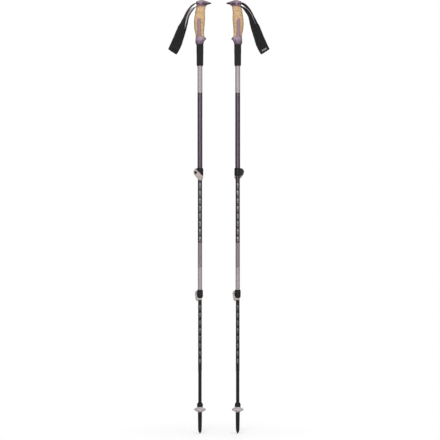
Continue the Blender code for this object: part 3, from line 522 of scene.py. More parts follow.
def carve(base, operations, bevel=None, merge=True):
    """Applies Booleans, given as (operation, bmesh), to a bmesh.

    bevel is (width in mm, segments, least angle in degrees), applied first;
    merge joins points that fall together.
    """
    def link_solid(mesh):
        face_outward(mesh)
        return link_mesh("solid", mesh)

    solids = [link_solid(base)]
    modifiers = solids[0].modifiers
    if bevel:
        width, segments, angle = bevel
        rounding = modifiers.new("bevel", 'BEVEL')
        rounding.width, rounding.segments = width * MM, segments
        rounding.limit_method = 'ANGLE'
        rounding.angle_limit = math.radians(angle)
    for operation, cutter in operations:
        solids.append(link_solid(cutter))
        boolean = modifiers.new(operation, 'BOOLEAN')
        boolean.operation, boolean.object, boolean.solver = operation, solids[-1], 'EXACT'
    mesh = baked(solids[0])
    for obj in solids:
        data = obj.data
        bpy.data.objects.remove(obj, do_unlink=True)
        bpy.data.meshes.remove(data)
    if merge:
        bmesh.ops.remove_doubles(mesh, verts=mesh.verts, dist=2e-7)
    return mesh


# ------------------------------------------------------------------ curves
def even_steps(start, end, count):
    return [start + k * (end - start) / count for k in range(count + 1)]


def smoothstep(t):
    return t * t * (3 - 2 * t)


def catmull_rom(before, start, end, after, t):
    return 0.5 * (2 * start + (end - before) * t
                  + (2 * before - 5 * start + 4 * end - after) * t * t
                  + (3 * start - before - 3 * end + after) * t ** 3)


def spline_closed(points, steps=6):
    """Catmull-Rom curve through a closed outline."""
    count = len(points)
    curve = []
    for i in range(count):
        around = [points[(i + k - 1) % count] for k in range(4)]
        for step in range(steps):
            curve.append(tuple(catmull_rom(*values, step / steps) for values in zip(*around)))
    return curve


def rounded(points, radius, steps=4):
    """Replaces the corners of a closed outline with small quadratic arcs."""
    outline = []
    count = len(points)
    for i in range(count):
        corner = Vector(points[i])
        back = Vector(points[i - 1]) - corner
        ahead = Vector(points[(i + 1) % count]) - corner
        reach = min(radius, back.length * 0.45, ahead.length * 0.45)
        start = corner + back.normalized() * reach
        end = corner + ahead.normalized() * reach
        for k in range(steps + 1):
            t = k / steps
            outline.append(tuple((1 - t) ** 2 * start + 2 * t * (1 - t) * corner + t * t * end))
    return outline


def lookup(rows, z):
    """Smooth (Hermite) lookup in rows of (z, values...), held level past the ends."""
    rows = sorted(rows)
    if z <= rows[0][0]:
        return list(rows[0][1:])
    if z >= rows[-1][0]:
        return list(rows[-1][1:])
    for i in range(len(rows) - 1):
        if rows[i][0] <= z <= rows[i + 1][0]:
            break
    low, high = rows[i], rows[i + 1]
    before, after = rows[max(i - 1, 0)], rows[min(i + 2, len(rows) - 1)]
    gap = high[0] - low[0]
    t = (z - low[0]) / gap
    values = []
    for j in range(1, len(low)):
        slope_low = (high[j] - before[j]) / (high[0] - before[0]) * gap
        slope_high = (after[j] - low[j]) / (after[0] - low[0]) * gap
        values.append((2 * t ** 3 - 3 * t ** 2 + 1) * low[j] + (t ** 3 - 2 * t ** 2 + t) * slope_low
                      + (-2 * t ** 3 + 3 * t ** 2) * high[j] + (t ** 3 - t ** 2) * slope_high)
    return values


def box(x0, x1, z0, z1):
    return [(x0, z0), (x1, z0), (x1, z1), (x0, z1)]


def scaled(points, scale):
    return [(x * scale, z * scale) for x, z in points]


def circle(radius, count, x=0.0, y=0.0):
    return [(x + radius * math.cos(2 * math.pi * i / count),
             y + radius * math.sin(2 * math.pi * i / count)) for i in range(count)]


def oval(z, back, front, half, count=96, grow=0.0, tilt=0.0, rear=OVAL_POWER):
    """Oval section between two x values; rear is the exponent of its -X half."""
    middle, half_length = (back + front) / 2, (front - back) / 2 + grow
    points = []
    for i in range(count):
        angle = 2 * math.pi * i / count
        cosine, sine = math.cos(angle), math.sin(angle)
        power = 2 / (rear if cosine < 0 else OVAL_POWER)
        x = middle + half_length * math.copysign(abs(cosine) ** power, cosine)
        y = (half + grow) * math.copysign(abs(sine) ** power, sine)
        points.append((x, y, z + tilt * (x - middle)))
    return points


# ------------------------------------------------------------------ solids
def turned(profile, segments=96, bored=True):
    """Turned solid from (radius, height) points.

    bored joins the profile's ends; otherwise both ends lie on the axis.
    """
    mesh = bmesh.new()
    rows = []
    for radius, z in profile:
        if radius < 1e-6:
            rows.append([mesh.verts.new((0, 0, z * MM))])
        else:
            rows.append([mesh.verts.new((radius * MM * math.cos(2 * math.pi * i / segments),
                                         radius * MM * math.sin(2 * math.pi * i / segments),
                                         z * MM)) for i in range(segments)])
    pairs = list(zip(rows, rows[1:]))
    if bored:
        pairs.append((rows[-1], rows[0]))
    for low, high in pairs:
        for i in range(segments):
            j = (i + 1) % segments
            if len(low) == 1:
                mesh.faces.new((low[0], high[j], high[i]))
            elif len(high) == 1:
                mesh.faces.new((low[i], low[j], high[0]))
            else:
                mesh.faces.new((low[i], low[j], high[j], high[i]))
    return mesh


def upright_rod(radius, z0, z1):
    return turned([(0, z0), (radius, z0), (radius, z1), (0, z1)], bored=False)


def prism(outline, y0, y1):
    """Outline (x, z) drawn out along Y."""
    mesh = bmesh.new()
    near = [mesh.verts.new((x * MM, y0 * MM, z * MM)) for x, z in outline]
    far = [mesh.verts.new((x * MM, y1 * MM, z * MM)) for x, z in outline]
    count = len(outline)
    for i in range(count):
        j = (i + 1) % count
        mesh.faces.new((near[i], near[j], far[j], far[i]))
    mesh.faces.new(near)
    mesh.faces.new(far[::-1])
    bmesh.ops.recalc_face_normals(mesh, faces=mesh.faces)
    return mesh


def cross_rod(radius, y0, y1, x, z, segments):
    """Cylinder along Y."""
    return prism(circle(radius, segments, x, z), y0, y1)


def cross_rings(x, z, outer, inner, y0, y1, segments=48):
    """Two square-section rings about a line along Y, at +y0..y1 and -y1..-y0."""
    mesh = bmesh.new()
    for start, end in ((y0, y1), (-y1, -y0)):
        rows = []
        for radius, y in ((outer, start), (outer, end), (inner, end), (inner, start)):
            rows.append([mesh.verts.new((ring_x * MM, y * MM, ring_z * MM))
                         for ring_x, ring_z in circle(radius, segments, x, z)])
        for row, following in zip(rows, rows[1:] + rows[:1]):
            for i in range(segments):
                j = (i + 1) % segments
                mesh.faces.new((row[i], row[j], following[j], following[i]))
    bmesh.ops.recalc_face_normals(mesh, faces=mesh.faces)
    return mesh


def skin(rings, closed_run=False):
    """Surface over rings of (x, y, z); a closed run joins the last ring to the
    first, otherwise both ends are capped."""
    mesh = bmesh.new()
    rows = [[mesh.verts.new((x * MM, y * MM, z * MM)) for x, y, z in ring] for ring in rings]
    count = len(rings[0])
    pairs = list(zip(rows, rows[1:]))
    if closed_run:
        pairs.append((rows[-1], rows[0]))
    for row, following in pairs:
        for i in range(count):
            j = (i + 1) % count
            mesh.faces.new((row[i], row[j], following[j], following[i]))
    if not closed_run:
        mesh.faces.new(rows[0])
        mesh.faces.new(rows[-1][::-1])
    return mesh


def woven_skin(rings):
    """Capped surface over rings of (place, across, along); the last two, in
    metres, become its UVs."""
    mesh = bmesh.new()
    uv_layer = mesh.loops.layers.uv.new("UVMap")
    rows = [[(mesh.verts.new(place * MM), across * MM, along * MM)
             for place, across, along in ring] for ring in rings]

    def add_face(corners):
        face = mesh.faces.new([corner[0] for corner in corners])
        for loop, corner in zip(face.loops, corners):
            loop[uv_layer].uv = corner[1:]

    count = len(rows[0])
    for row, following in zip(rows, rows[1:]):
        for i in range(count):
            j = (i + 1) % count
            add_face((row[i], row[j], following[j], following[i]))
    add_face(rows[0])
    add_face(rows[-1])
    return mesh


# ------------------------------------------------------------------ grip
# cork sections: height, back x, front x, half width in y
CORK = [
    (1378.7, -11.8, 18.3, 13.0), (1372.0, -12.9, 17.3, 13.3), (1366.5, -14.6, 16.6, 13.6),
    (1361.0, -15.2, 16.1, 13.8), (1355.5, -16.2, 16.1, 14.1), (1349.0, -17.0, 16.5, 14.4),
    (1342.5, -18.2, 16.7, 14.7), (1336.0, -18.8, 16.5, 14.9), (1323.0, -19.2, 15.4, 14.9),
    (1312.0, -18.7, 14.5, 14.6), (1303.8, -17.6, 13.9, 14.2), (1295.0, -15.6, 13.4, 13.6),
    (1287.0, -14.2, 13.4, 13.1), (1281.3, -13.8, 15.4, 12.9),
]
# collar sections, same columns
COLLAR = [
    (1281.0, -14.0, 16.0, 13.6), (1278.0, -14.1, 18.8, 13.7), (1274.3, -14.3, 20.7, 13.6),
    (1271.0, -14.6, 16.6, 13.4), (1264.5, -14.9, 13.0, 13.0), (1260.0, -14.0, 12.3, 12.4),
    (1257.0, -12.6, 12.0, 12.0),
]
# head sections: height, back x, front x, half width, beak's reach in x, beak's half width
HEAD = [
    (1379.0, -12.2, 18.6, 12.9, 18.6, 7.0),
    (1381.5, -13.0, 20.2, 14.2, 20.4, 7.4),
    (1384.6, -13.5, 21.0, 15.4, 23.6, 8.0),
    (1386.9, -13.8, 21.7, 15.9, 31.0, 8.2),
    (1388.3, -14.0, 22.0, 16.0, 35.8, 8.2),
    (1390.3, -14.1, 22.0, 16.2, 36.8, 8.2),
    (1392.2, -13.9, 21.9, 16.1, 35.4, 8.0),
    (1393.5, -13.4, 21.9, 15.8, 31.2, 7.8),
    (1394.6, -12.7, 21.6, 15.3, 27.6, 7.6),
    (1396.2, -10.6, 20.6, 13.6, 23.8, 7.2),
    (1397.2, -7.6, 18.8, 11.6, 20.6, 6.6),
    (1398.6, -3.6, 15.4, 8.8, 15.6, 5.4),
    (1400.0, 0.4, 11.6, 5.2, 11.6, 4.0),
]
# foam sleeve: radius, height; its ends join along the bore
FOAM = [
    (GRIP_BORE, 1187.5), (9.4, 1187.5), (9.9, 1187.9), (10.3, 1188.9), (10.55, 1190.6),
    (10.8, 1194.0), (10.9, 1200.0), (10.95, 1221.0), (11.1, 1225.0), (11.3, 1229.0),
    (11.35, 1254.0), (11.3, 1256.4), (10.5, 1256.4), (10.5, 1258.6), (GRIP_BORE, 1258.6),
]
CORK_FOOT, CORK_TOP = CORK[-1][0], CORK[0][0]
COLLAR_TOP = COLLAR[0][0]
COLLAR_SLANT = 0.115            # rise of the collar's foot per mm towards +X
SLOT_HALF_WIDTH = 11.4          # strap opening through the head and the cork


def cork_ring(z, grow):
    back, front, half = lookup(CORK, z)
    # three shallow finger ripples low on the back edge of the upper body
    ripple = 0.0
    if 1343 < z < 1374:
        along = (z - 1343.0) / 31.0
        ripple = 0.32 * math.sin(along * 2 * math.pi * 3) * math.sin(math.pi * along)
    return [(x + ripple * min(1.0, (-6 - x) / 6.0) if x < -6 else x, y, level)
            for x, y, level in oval(z, back, front, half, grow=grow)]


def bore_ring(z, slant=0.0):
    return [(x, y, z + slant * x) for x, y in circle(GRIP_BORE, 96)]


def build_cork(side, pole):
    foot_round, top_round = 1.2, 1.1            # heights of the rounded rims
    neck_foot, neck_top = 1279.0, 1380.6
    body_foot, body_top = CORK_FOOT + foot_round, CORK_TOP - top_round
    rings = []
    for z in ([CORK_FOOT, CORK_FOOT + 0.4] + even_steps(body_foot, body_top, 90)
              + [CORK_TOP - 0.3, CORK_TOP]):
        rim = max(0.0, (body_foot - z) / foot_round, (z - body_top) / top_round)
        rings.append(cork_ring(z, -0.5 * rim))
    # plain necks reach into the head and the collar, so the seams show no light
    top_neck = cork_ring(CORK_TOP, -1.3)
    low_neck = cork_ring(CORK_FOOT, -1.5)
    rings += [top_neck, [(x, y, neck_top) for x, y, _ in top_neck],
              bore_ring(neck_top), bore_ring(neck_foot),
              [(x, y, neck_foot) for x, y, _ in low_neck], low_neck]
    slot = cross_rod(8.6, -SLOT_HALF_WIDTH, SLOT_HALF_WIDTH, x=-13.5, z=1385.0, segments=64)
    mesh = carve(skin(rings, closed_run=True), [('DIFFERENCE', slot)])
    add_part(side + "_cork_body", mesh, "cork", pole, side + "_grip_cork", side + "_top")


def build_collar(side, pole):
    foot = 1255.9
    slant_top = 1262.0                          # below this the collar slants and lifts
    rings = []
    for z in even_steps(foot, 1280.4, 34):
        back, front, half = lookup(COLLAR, z)
        tilt = COLLAR_SLANT * max(0.0, slant_top - z) / (slant_top - foot)
        lift = 1.1 * min(1.0, max(0.0, slant_top - z) / 5.0)
        rim = max(0.0, 1.0 - (z - foot) / 1.6)
        rings.append(oval(z + lift, back, front, half, grow=-0.5 * rim, tilt=tilt))
    back, front, half = lookup(COLLAR, COLLAR_TOP)
    rings.append(oval(COLLAR_TOP - 0.2, back, front, half, grow=-0.15))
    rings.append(oval(COLLAR_TOP, back, front, half, grow=-0.6))
    rings += [bore_ring(COLLAR_TOP), bore_ring(COLLAR[-1][0], COLLAR_SLANT)]
    add_part(side + "_collar_body", skin(rings, closed_run=True), "collar", pole,
             side + "_grip_collar", side + "_top")


def build_tongues(side, pole):
    """Rubber stripes with round ends, up both Y sides of the cork."""
    half_width, foot, top = 6.5, 1279.6, 1340.0
    columns, row_count = 16, 70
    for y_sign, tag in ((1, "a"), (-1, "b")):
        rings = []
        for row in range(row_count + 1):
            z = foot + (top - 0.02 - foot) * (1 - (1 - row / row_count) ** 1.25)
            width = half_width + 4.2 * math.exp(-max(0.0, z - 1280.5) / 3.0)
            if z > top - half_width:            # round end
                width = math.sqrt(max(0.0, half_width ** 2 - (z - (top - half_width)) ** 2)) + 0.02
            back, front, half = lookup(CORK, z)
            middle, half_length = (back + front) / 2, (front - back) / 2
            outer, inner = [], []
            for column in range(columns + 1):
                across = -1 + 2 * column / columns
                x = TONGUE_X + width * across
                cork = half * (max(0.0, 1 - abs((x - middle) / half_length) ** OVAL_POWER)) \
                    ** (1 / OVAL_POWER)
                edge = min((1 - abs(across)) * width, max(0.0, top - z))
                lift = 0.55 * (1 - math.exp(-edge / 0.45)) - 0.15
                if 1286 < z < top - 6:          # fine ribs across the tongue
                    lift += 0.10 * math.sin(z * 2 * math.pi / 3.2) * min(1.0, edge / 2.0)
                outer.append((x, y_sign * (cork + lift), z))
                inner.append((x, y_sign * (cork - 1.2), z))
            rings.append(outer + inner[::-1])
        add_part(side + "_collar_tongue_" + tag, skin(rings), "tongue", pole,
                 side + "_grip_collar", side + "_top", replaces=False)


def build_foam(side, pole):
    longest_step = 3.0
    profile = FOAM[:2]
    for (radius0, z0), (radius1, z1) in zip(FOAM[1:-1], FOAM[2:-1]):
        steps = max(1, int(abs(z1 - z0) / longest_step))
        profile += [(radius0 + (radius1 - radius0) * k / steps, z0 + (z1 - z0) * k / steps)
                    for k in range(1, steps + 1)]
    profile.append(FOAM[-1])
    mesh = turned(profile)
    for vert in mesh.verts:      # its top follows the collar's slanted foot
        if vert.co.z > 1250 * MM:
            share = (vert.co.z - 1250 * MM) / (6.4 * MM)
            vert.co.z += share * COLLAR_SLANT * vert.co.x
    add_part(side + "_foam_body", mesh, "foam", pole, side + "_foam_sleeve", side + "_top")


def head_ring(z):
    back, front, half, reach, beak_half = lookup(HEAD, z)
    grow = -0.5 * max(0.0, 1379.6 - z) / 0.6    # rounded foot
    # fine parting grooves under the rim and round the top boss
    grow -= 0.42 * math.exp(-((z - 1386.2) / 0.42) ** 2)
    grow -= 0.5 * math.exp(-((z - 1397.3) / 0.3) ** 2)
    ring = []
    for x, y, level in oval(z, back, front, half, count=128, grow=grow, rear=3.4):
        if x > 2.0:                             # draw the front out into the beak
            pull = ((x - 2.0) / (front - 2.0)) ** 2.2
            narrow = 1.0 - pull * max(0.0, 1.0 - beak_half / half) * 0.9
            x = x + (reach - front) * pull * math.exp(-(y / (beak_half * 1.15)) ** 2)
            y = y * narrow
        ring.append((x, y, level))
    return ring


def build_head(side, pole):
    levels = [1379.0, 1379.25] + even_steps(1379.6, 1399.2, 64) + [1399.5, 1399.8, 1400.0]
    mouth = prism(rounded(box(-24, -5.2, 1376.0, 1393.4), radius=3.0, steps=6),
                  -SLOT_HALF_WIDTH, SLOT_HALF_WIDTH)
    cavity = prism(box(-9.0, 10.5, 1382.6, 1394.2), -10.8, 10.8)
    mesh = carve(skin([head_ring(z) for z in levels]),
                 [('DIFFERENCE', mouth), ('DIFFERENCE', cavity)])
    add_part(side + "_head_body", mesh, "head", pole, side + "_grip_head", side + "_top",
             sharp=42)


def build_cross_pin(side, pole):
    """Pin along Y through the head, with domed ends."""
    end = [(2.0, 15.3), (1.75, 15.9), (1.2, 16.2), (0.0, 16.2)]     # radius, distance
    profile = [(radius, -z) for radius, z in end[::-1]] + end
    frame = pole @ Matrix.Translation((3.6 * MM, 0, 1387.0 * MM)) \
        @ Matrix.Rotation(math.pi / 2, 4, 'X')
    add_part(side + "_cross_pin", turned(profile, 40, bored=False), "pin", frame,
             side + "_strap_pin", side + "_top")


def build_grip(side, pole):
    build_cork(side, pole)
    build_collar(side, pole)
    build_tongues(side, pole)
    build_foam(side, pole)
    build_head(side, pole)
    build_cross_pin(side, pole)


# ------------------------------------------------------------------ strap
# stations from the head down to the fold and back: x, y, z, width, turn in
# degrees from lying across the pole, thickness
STRAP = [
    (-6.6, 0.0, 1390.3, 20.0, 4, 2.4), (-14.0, 0.0, 1389.7, 20.0, 10, 2.4),
    (-21.0, 0.0, 1386.2, 20.5, 16, 2.4), (-28.5, 0.0, 1379.8, 21.0, 17, 2.4),
    (-35.5, 0.0, 1371.4, 21.5, 17, 2.4), (-42.0, 0.0, 1360.6, 22.0, 19, 2.6),
    (-47.6, -0.4, 1347.5, 22.5, 25, 2.8), (-54.6, -1.2, 1329.0, 24.0, 38, 3.0),
    (-60.8, -2.6, 1309.5, 27.0, 62, 3.4), (-66.4, -3.4, 1287.0, 31.0, 82, 3.8),
    (-75.0, -3.7, 1262.0, 34.5, 90, 4.0), (-82.6, -3.7, 1245.6, 34.0, 90, 4.0),
    (-87.2, -3.2, 1236.9, 33.0, 90, 3.6), (-88.6, -1.6, 1234.3, 32.4, 90, 3.0),
    (-89.0, 0.0, 1233.6, 32.2, 90, 2.8), (-88.6, 1.6, 1234.3, 32.4, 90, 3.0),
    (-87.2, 3.2, 1236.9, 33.0, 90, 3.6), (-82.6, 3.7, 1245.6, 34.0, 90, 4.0),
    (-75.0, 3.7, 1262.0, 34.5, 90, 4.0), (-65.6, 3.8, 1286.0, 31.0, 86, 3.8),
    (-55.0, 4.0, 1307.0, 25.0, 64, 3.2), (-48.0, 3.0, 1323.0, 22.5, 48, 2.8),
    (-43.0, 1.6, 1339.5, 21.5, 38, 2.4), (-37.6, 0.4, 1353.0, 21.0, 32, 2.4),
    (-28.6, 0.0, 1365.4, 20.5, 26, 2.4), (-20.4, 0.0, 1373.4, 20.0, 14, 2.4),
    (-14.0, 0.0, 1378.3, 20.0, 4, 2.4), (-6.6, 0.0, 1380.9, 20.0, 0, 2.4),
]
FOLD = Vector((0.833, 0.0, -0.553))     # width direction where the run turns through Y
LINING_FROM, LINING_TO = 18.0, 25.4     # counted in stations
PADDED_HALF_WIDTH = 11.2                # a wider band than this has a thick middle

Section = namedtuple("Section", "point across normal half_width half_thick along")


class Band:
    """The strap's run as a smooth curve with a turning, flat section."""

    def __init__(self, stations):
        self.stations = stations
        self.last = len(stations) - 1.0
        # distance along the run at small steps of u, which counts stations
        u = 0.0
        self.steps, self.lengths = [u], [0.0]
        previous = Vector(stations[0][:3])
        while u < self.last:
            u = min(u + 0.02, self.last)
            point = Vector(self.values(u)[:3])
            self.lengths.append(self.lengths[-1] + (point - previous).length)
            self.steps.append(u)
            previous = point
        self.total = self.lengths[-1]

    def values(self, u):
        """x, y, z, width, turn and thickness at u."""
        u = min(max(u, 0.0), self.last)
        i = min(int(u), len(self.stations) - 2)
        t = u - i
        start, end = self.stations[i], self.stations[i + 1]
        before = self.stations[max(i - 1, 0)]
        after = self.stations[min(i + 2, len(self.stations) - 1)]
        place = [catmull_rom(before[j], start[j], end[j], after[j], t) for j in range(3)]
        shape = [start[j] + (end[j] - start[j]) * share
                 for j, share in ((3, t), (4, smoothstep(t)), (5, t))]
        return place + shape

    def section(self, distance):
        """The section at a distance along the run."""
        distance = min(max(distance, 0.0), self.total)
        i = min(bisect_right(self.lengths, distance) - 1, len(self.lengths) - 2)
        gap = self.lengths[i + 1] - self.lengths[i]
        share = (distance - self.lengths[i]) / gap if gap > 1e-9 else 0.0
        u = self.steps[i] + (self.steps[i + 1] - self.steps[i]) * share

        x, y, z, width, turn, thickness = self.values(u)
        reach = 0.04
        along = (Vector(self.values(u + reach)[:3])
                 - Vector(self.values(u - reach)[:3])).normalized()
        flat = Vector((-along.z, 0.0, along.x))
        keep = min(1.0, max(0.0, (flat.length - 0.25) / 0.5))
        if flat.length > 1e-6:
            flat.normalize()
            if flat.x < 0:
                flat = -flat
        flat = (flat * keep + FOLD * (1 - keep)).normalized()
        angle = math.radians(turn)
        across = Vector((0, 1, 0)) * math.cos(angle) - flat * math.sin(angle)
        across = (across - along * across.dot(along)).normalized()
        return Section(Vector((x, y, z)), across, along.cross(across).normalized(),
                       width / 2, thickness / 2, along)


BAND = Band(STRAP)


def crown(across):
    """Share of the thickness over a padded band; across is 0 mid-band, 1 at an edge."""
    return 0.55 + 0.45 * (1 - abs(across) ** 2.2)


def edge_taper(across):
    return 0.25 + 0.75 * (1 - abs(across) ** 10)


def blend_strap(obj):
    """Bakes the object's placement into its mesh."""
    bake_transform(obj)


def build_webbing(side, pole):
    length_steps, width_steps = 230, 14
    rings = []
    for k in range(length_steps + 1):
        along = BAND.total * k / length_steps
        section = BAND.section(along)
        face = []
        for i in range(width_steps + 1):
            across = -1 + 2 * i / width_steps
            height = section.half_thick
            if section.half_width > PADDED_HALF_WIDTH:
                height *= crown(across)
            face.append((across * section.half_width, max(0.12, height * edge_taper(across))))
        outline = face + [(offset, -height) for offset, height in face[::-1]]
        rings.append([(section.point + section.across * offset + section.normal * height,
                       offset, along) for offset, height in outline])
    obj = add_object(side + "_strap_webbing", woven_skin(rings), "web", pole, sharp=60)
    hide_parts(side + "_wrist_strap")
    blend_strap(obj)


def stitch_mesh(stitches, half_length, half_width, half_height):
    """Small capped hexagonal rods on the band.

    stitches are (distance along, offset across, side of the band's normal,
    whether the stitch lies crosswise).
    """
    mesh = bmesh.new()
    for distance, offset, face, crosswise in stitches:
        section = BAND.section(distance)
        across = abs(offset) / section.half_width
        height = section.half_thick * crown(across) * edge_taper(across)
        centre = (section.point + section.across * offset
                  + section.normal * (face * (height + 0.02)))
        lengthwise, sideways = section.along, section.across
        if crosswise:
            lengthwise, sideways = sideways, lengthwise
        verts = []
        for end, size in ((-1, 0.35), (-0.6, 1.0), (0.6, 1.0), (1, 0.35)):
            for corner in range(6):
                angle = 2 * math.pi * corner / 6
                verts.append(mesh.verts.new(
                    (centre + lengthwise * (end * half_length)
                     + sideways * (math.cos(angle) * half_width * size)
                     + section.normal * (face * math.sin(angle) * half_height * size)) * MM))
        for row in range(0, 18, 6):
            for corner in range(6):
                following = (corner + 1) % 6
                mesh.faces.new((verts[row + corner], verts[row + following],
                                verts[row + 6 + following], verts[row + 6 + corner]))
        mesh.faces.new(verts[0:6][::-1])
        mesh.faces.new(verts[18:24])
    return mesh


def add_stitches(side, name, mesh, material, pole):
    add_part(side + name, mesh, material, pole, side + "_wrist_strap", side + "_strap",
             sharp=70, replaces=False)


def build_stitching(side, pole):
    """A row near each edge on the outside of the loop, and cross rows by the fold."""
    fold = BAND.total / 2
    stitches = []
    end_gap = 24.0
    distance = end_gap
    while distance < BAND.total - end_gap:
        section = BAND.section(distance)
        # outside of the loop: away from the other strand
        outward = -1 if distance < fold else 1
        face = 1 if (section.normal.y + 0.5 * section.normal.x) * outward > 0 else -1
        if abs(distance - fold) >= 7.0:
            inset = section.half_width - 2.3
            stitches += [(distance, -inset, face, False), (distance, inset, face, False)]
        distance += 3.6
    cross_pitch = 3.4
    for from_fold in (-9.0, -12.0, 9.0, 12.0):
        section = BAND.section(fold + from_fold)
        face = 1 if section.normal.y * from_fold > 0 else -1
        offset = -section.half_width + cross_pitch
        while offset <= section.half_width - cross_pitch:
            stitches.append((fold + from_fold, offset, face, True))
            offset += cross_pitch
    add_stitches(side, "_strap_stitching", stitch_mesh(stitches, 1.25, 0.26, 0.20),
                 "thread", pole)


def build_stitch_bar(side, pole):
    """Light bar of three cross rows near the fold, on the +Y strand's +Y face."""
    stitches = []
    for row in (-1, 0, 1):
        distance = BAND.total / 2 + 14.8 + row * 1.7
        face = 1 if BAND.section(distance).normal.y > 0 else -1
        stitches += [(distance, 7.4 - k * 2.9, face, True) for k in range(6)]
    add_stitches(side, "_strap_bar", stitch_mesh(stitches, 1.35, 0.62, 0.24),
                 "thread_light", pole)


def build_lining(side, pole):
    """Thin pale strip beside the second strand, on the side of the first."""
    steps, margin = 60, 1.7
    start = min(length for length, u in zip(BAND.lengths, BAND.steps) if u >= LINING_FROM)
    end = max(length for length, u in zip(BAND.lengths, BAND.steps) if u <= LINING_TO)
    rings = []
    for k in range(steps + 1):
        along = start + (end - start) * k / steps
        section = BAND.section(along)
        normal = section.normal
        if normal.x + 2 * normal.y > 0:
            normal = -normal
        centre = section.point + normal * (section.half_thick + 0.9 + 0.4)
        # one edge's margin widens over the first fifth of the strip
        low = -section.half_width + margin + 3.3 * smoothstep(min(1.0, k / steps * 5.0))
        high = section.half_width - margin
        outline = [(low, -0.25), (low + 0.5, -0.38), (high - 0.5, -0.38), (high, -0.25),
                   (high, 0.25), (high - 0.5, 0.38), (low + 0.5, 0.38), (low, 0.25)]
        rings.append([(centre + section.across * offset + normal * height, offset, along)
                      for offset, height in outline])
    obj = add_object(side + "_lining_strip", woven_skin(rings), "lining", pole, sharp=60)
    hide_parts(side + "_strap_lining")
    blend_strap(obj)


def build_strap(side, pole):
    build_webbing(side, pole)
    build_stitching(side, pole)
    if side == "right":
        build_stitch_bar(side, pole)
    build_lining(side, pole)


# ------------------------------------------------------------------ locks
# Lock shapes are drawn at scale 1 about the lock's centre.
# lever plate outline: x, z
LEVER = [(-12.3, 10.9), (-7.8, 5.8), (-3.6, 1.9), (2.6, -4.3), (8.7, -10.1), (10.7, -14.3),
         (10.0, -18.5), (6.8, -22.4), (1.3, -24.6), (-4.2, -23.0), (-8.1, -18.8),
         (-13.3, -13.0), (-18.1, -5.9), (-19.7, 0.6), (-18.4, 7.0), (-15.5, 10.6)]
# lever seen along X: distance towards -Y, z; its -Y face rolls in at both ends
LEVER_SIDE = [
    (14.2, 14.0), (16.0, 10.6), (16.9, 7.0), (17.3, 2.0), (17.35, -2.0), (17.3, -6.0),
    (17.0, -11.5), (16.3, -15.6), (15.2, -19.2), (14.0, -21.9), (12.7, -24.0),
    (11.0, -25.3), (8.0, -25.6), (1.0, -25.6), (-1.4, -24.6), (-3.6, -23.1), (-5.3, -21.2),
    (-6.4, -18.9), (-7.1, -16.0), (-7.2, 14.0)]
PIVOT_X = -13.8                 # bolt's axis, which runs along Y


def clamp_mesh(scale, radius_above, radius_below, skirt):
    """Collar round the tubes, with two split ears for the bolt on its -X side."""
    above, below = radius_above + CLEARANCE, radius_below + CLEARANCE
    if skirt:
        foot = [(9.6 * scale, -12.4 * scale), (8.7 * scale, -13.7 * scale),
                (below, -13.7 * scale)]
    else:
        foot = [(below, -10.4 * scale)]
    outside = scaled([(9.0, 15.5), (10.8, 12.6), (10.8, -8.6), (9.8, -10.4)], scale)
    profile = [(above, 15.5 * scale)] + outside + foot \
        + [(below, LOCK_SEAT * scale), (above, LOCK_SEAT * scale)]
    collar = turned(rounded(profile, 0.8 * scale, 3))

    ears = cross_rod(11.65 * scale, -8.9 * scale, 3.0 * scale, -8.2 * scale, 2.4 * scale, 72)
    boss = cross_rod(11.4 * scale, -3.0 * scale, 8.9 * scale, -9.0 * scale, 3.1 * scale, 72)
    ears = carve(ears, [('UNION', boss)])
    ears = carve(ears, [], bevel=(1.1 * scale, 3, 50), merge=False)
    front_trim = prism(box(0.5 * scale, 16 * scale, -30, 30), -14, 14)
    core = upright_rod(9.3 * scale, -30, 30)
    ears = carve(ears, [('DIFFERENCE', front_trim), ('DIFFERENCE', core)])

    pivot = PIVOT_X * scale
    slit = prism(box(-25 * scale, -radius_below * 0.75, -20 * scale, 24 * scale),
                 -0.9 * scale, 0.9 * scale)
    hole = cross_rod(2.3, -12 * scale, 12 * scale, pivot, 0, 32)
    hexagon_pocket = cross_rod(4.1 * scale + 0.35, 6.2 * scale, 12 * scale, pivot, 0, 6)
    # shallow recess ring on the outer faces of the ears
    recess = cross_rings(pivot, 0, 7.4 * scale, 6.4 * scale, 8.3 * scale, 12 * scale)
    return carve(collar, [('UNION', ears), ('DIFFERENCE', slit), ('DIFFERENCE', hole),
                          ('DIFFERENCE', hexagon_pocket), ('DIFFERENCE', recess)])


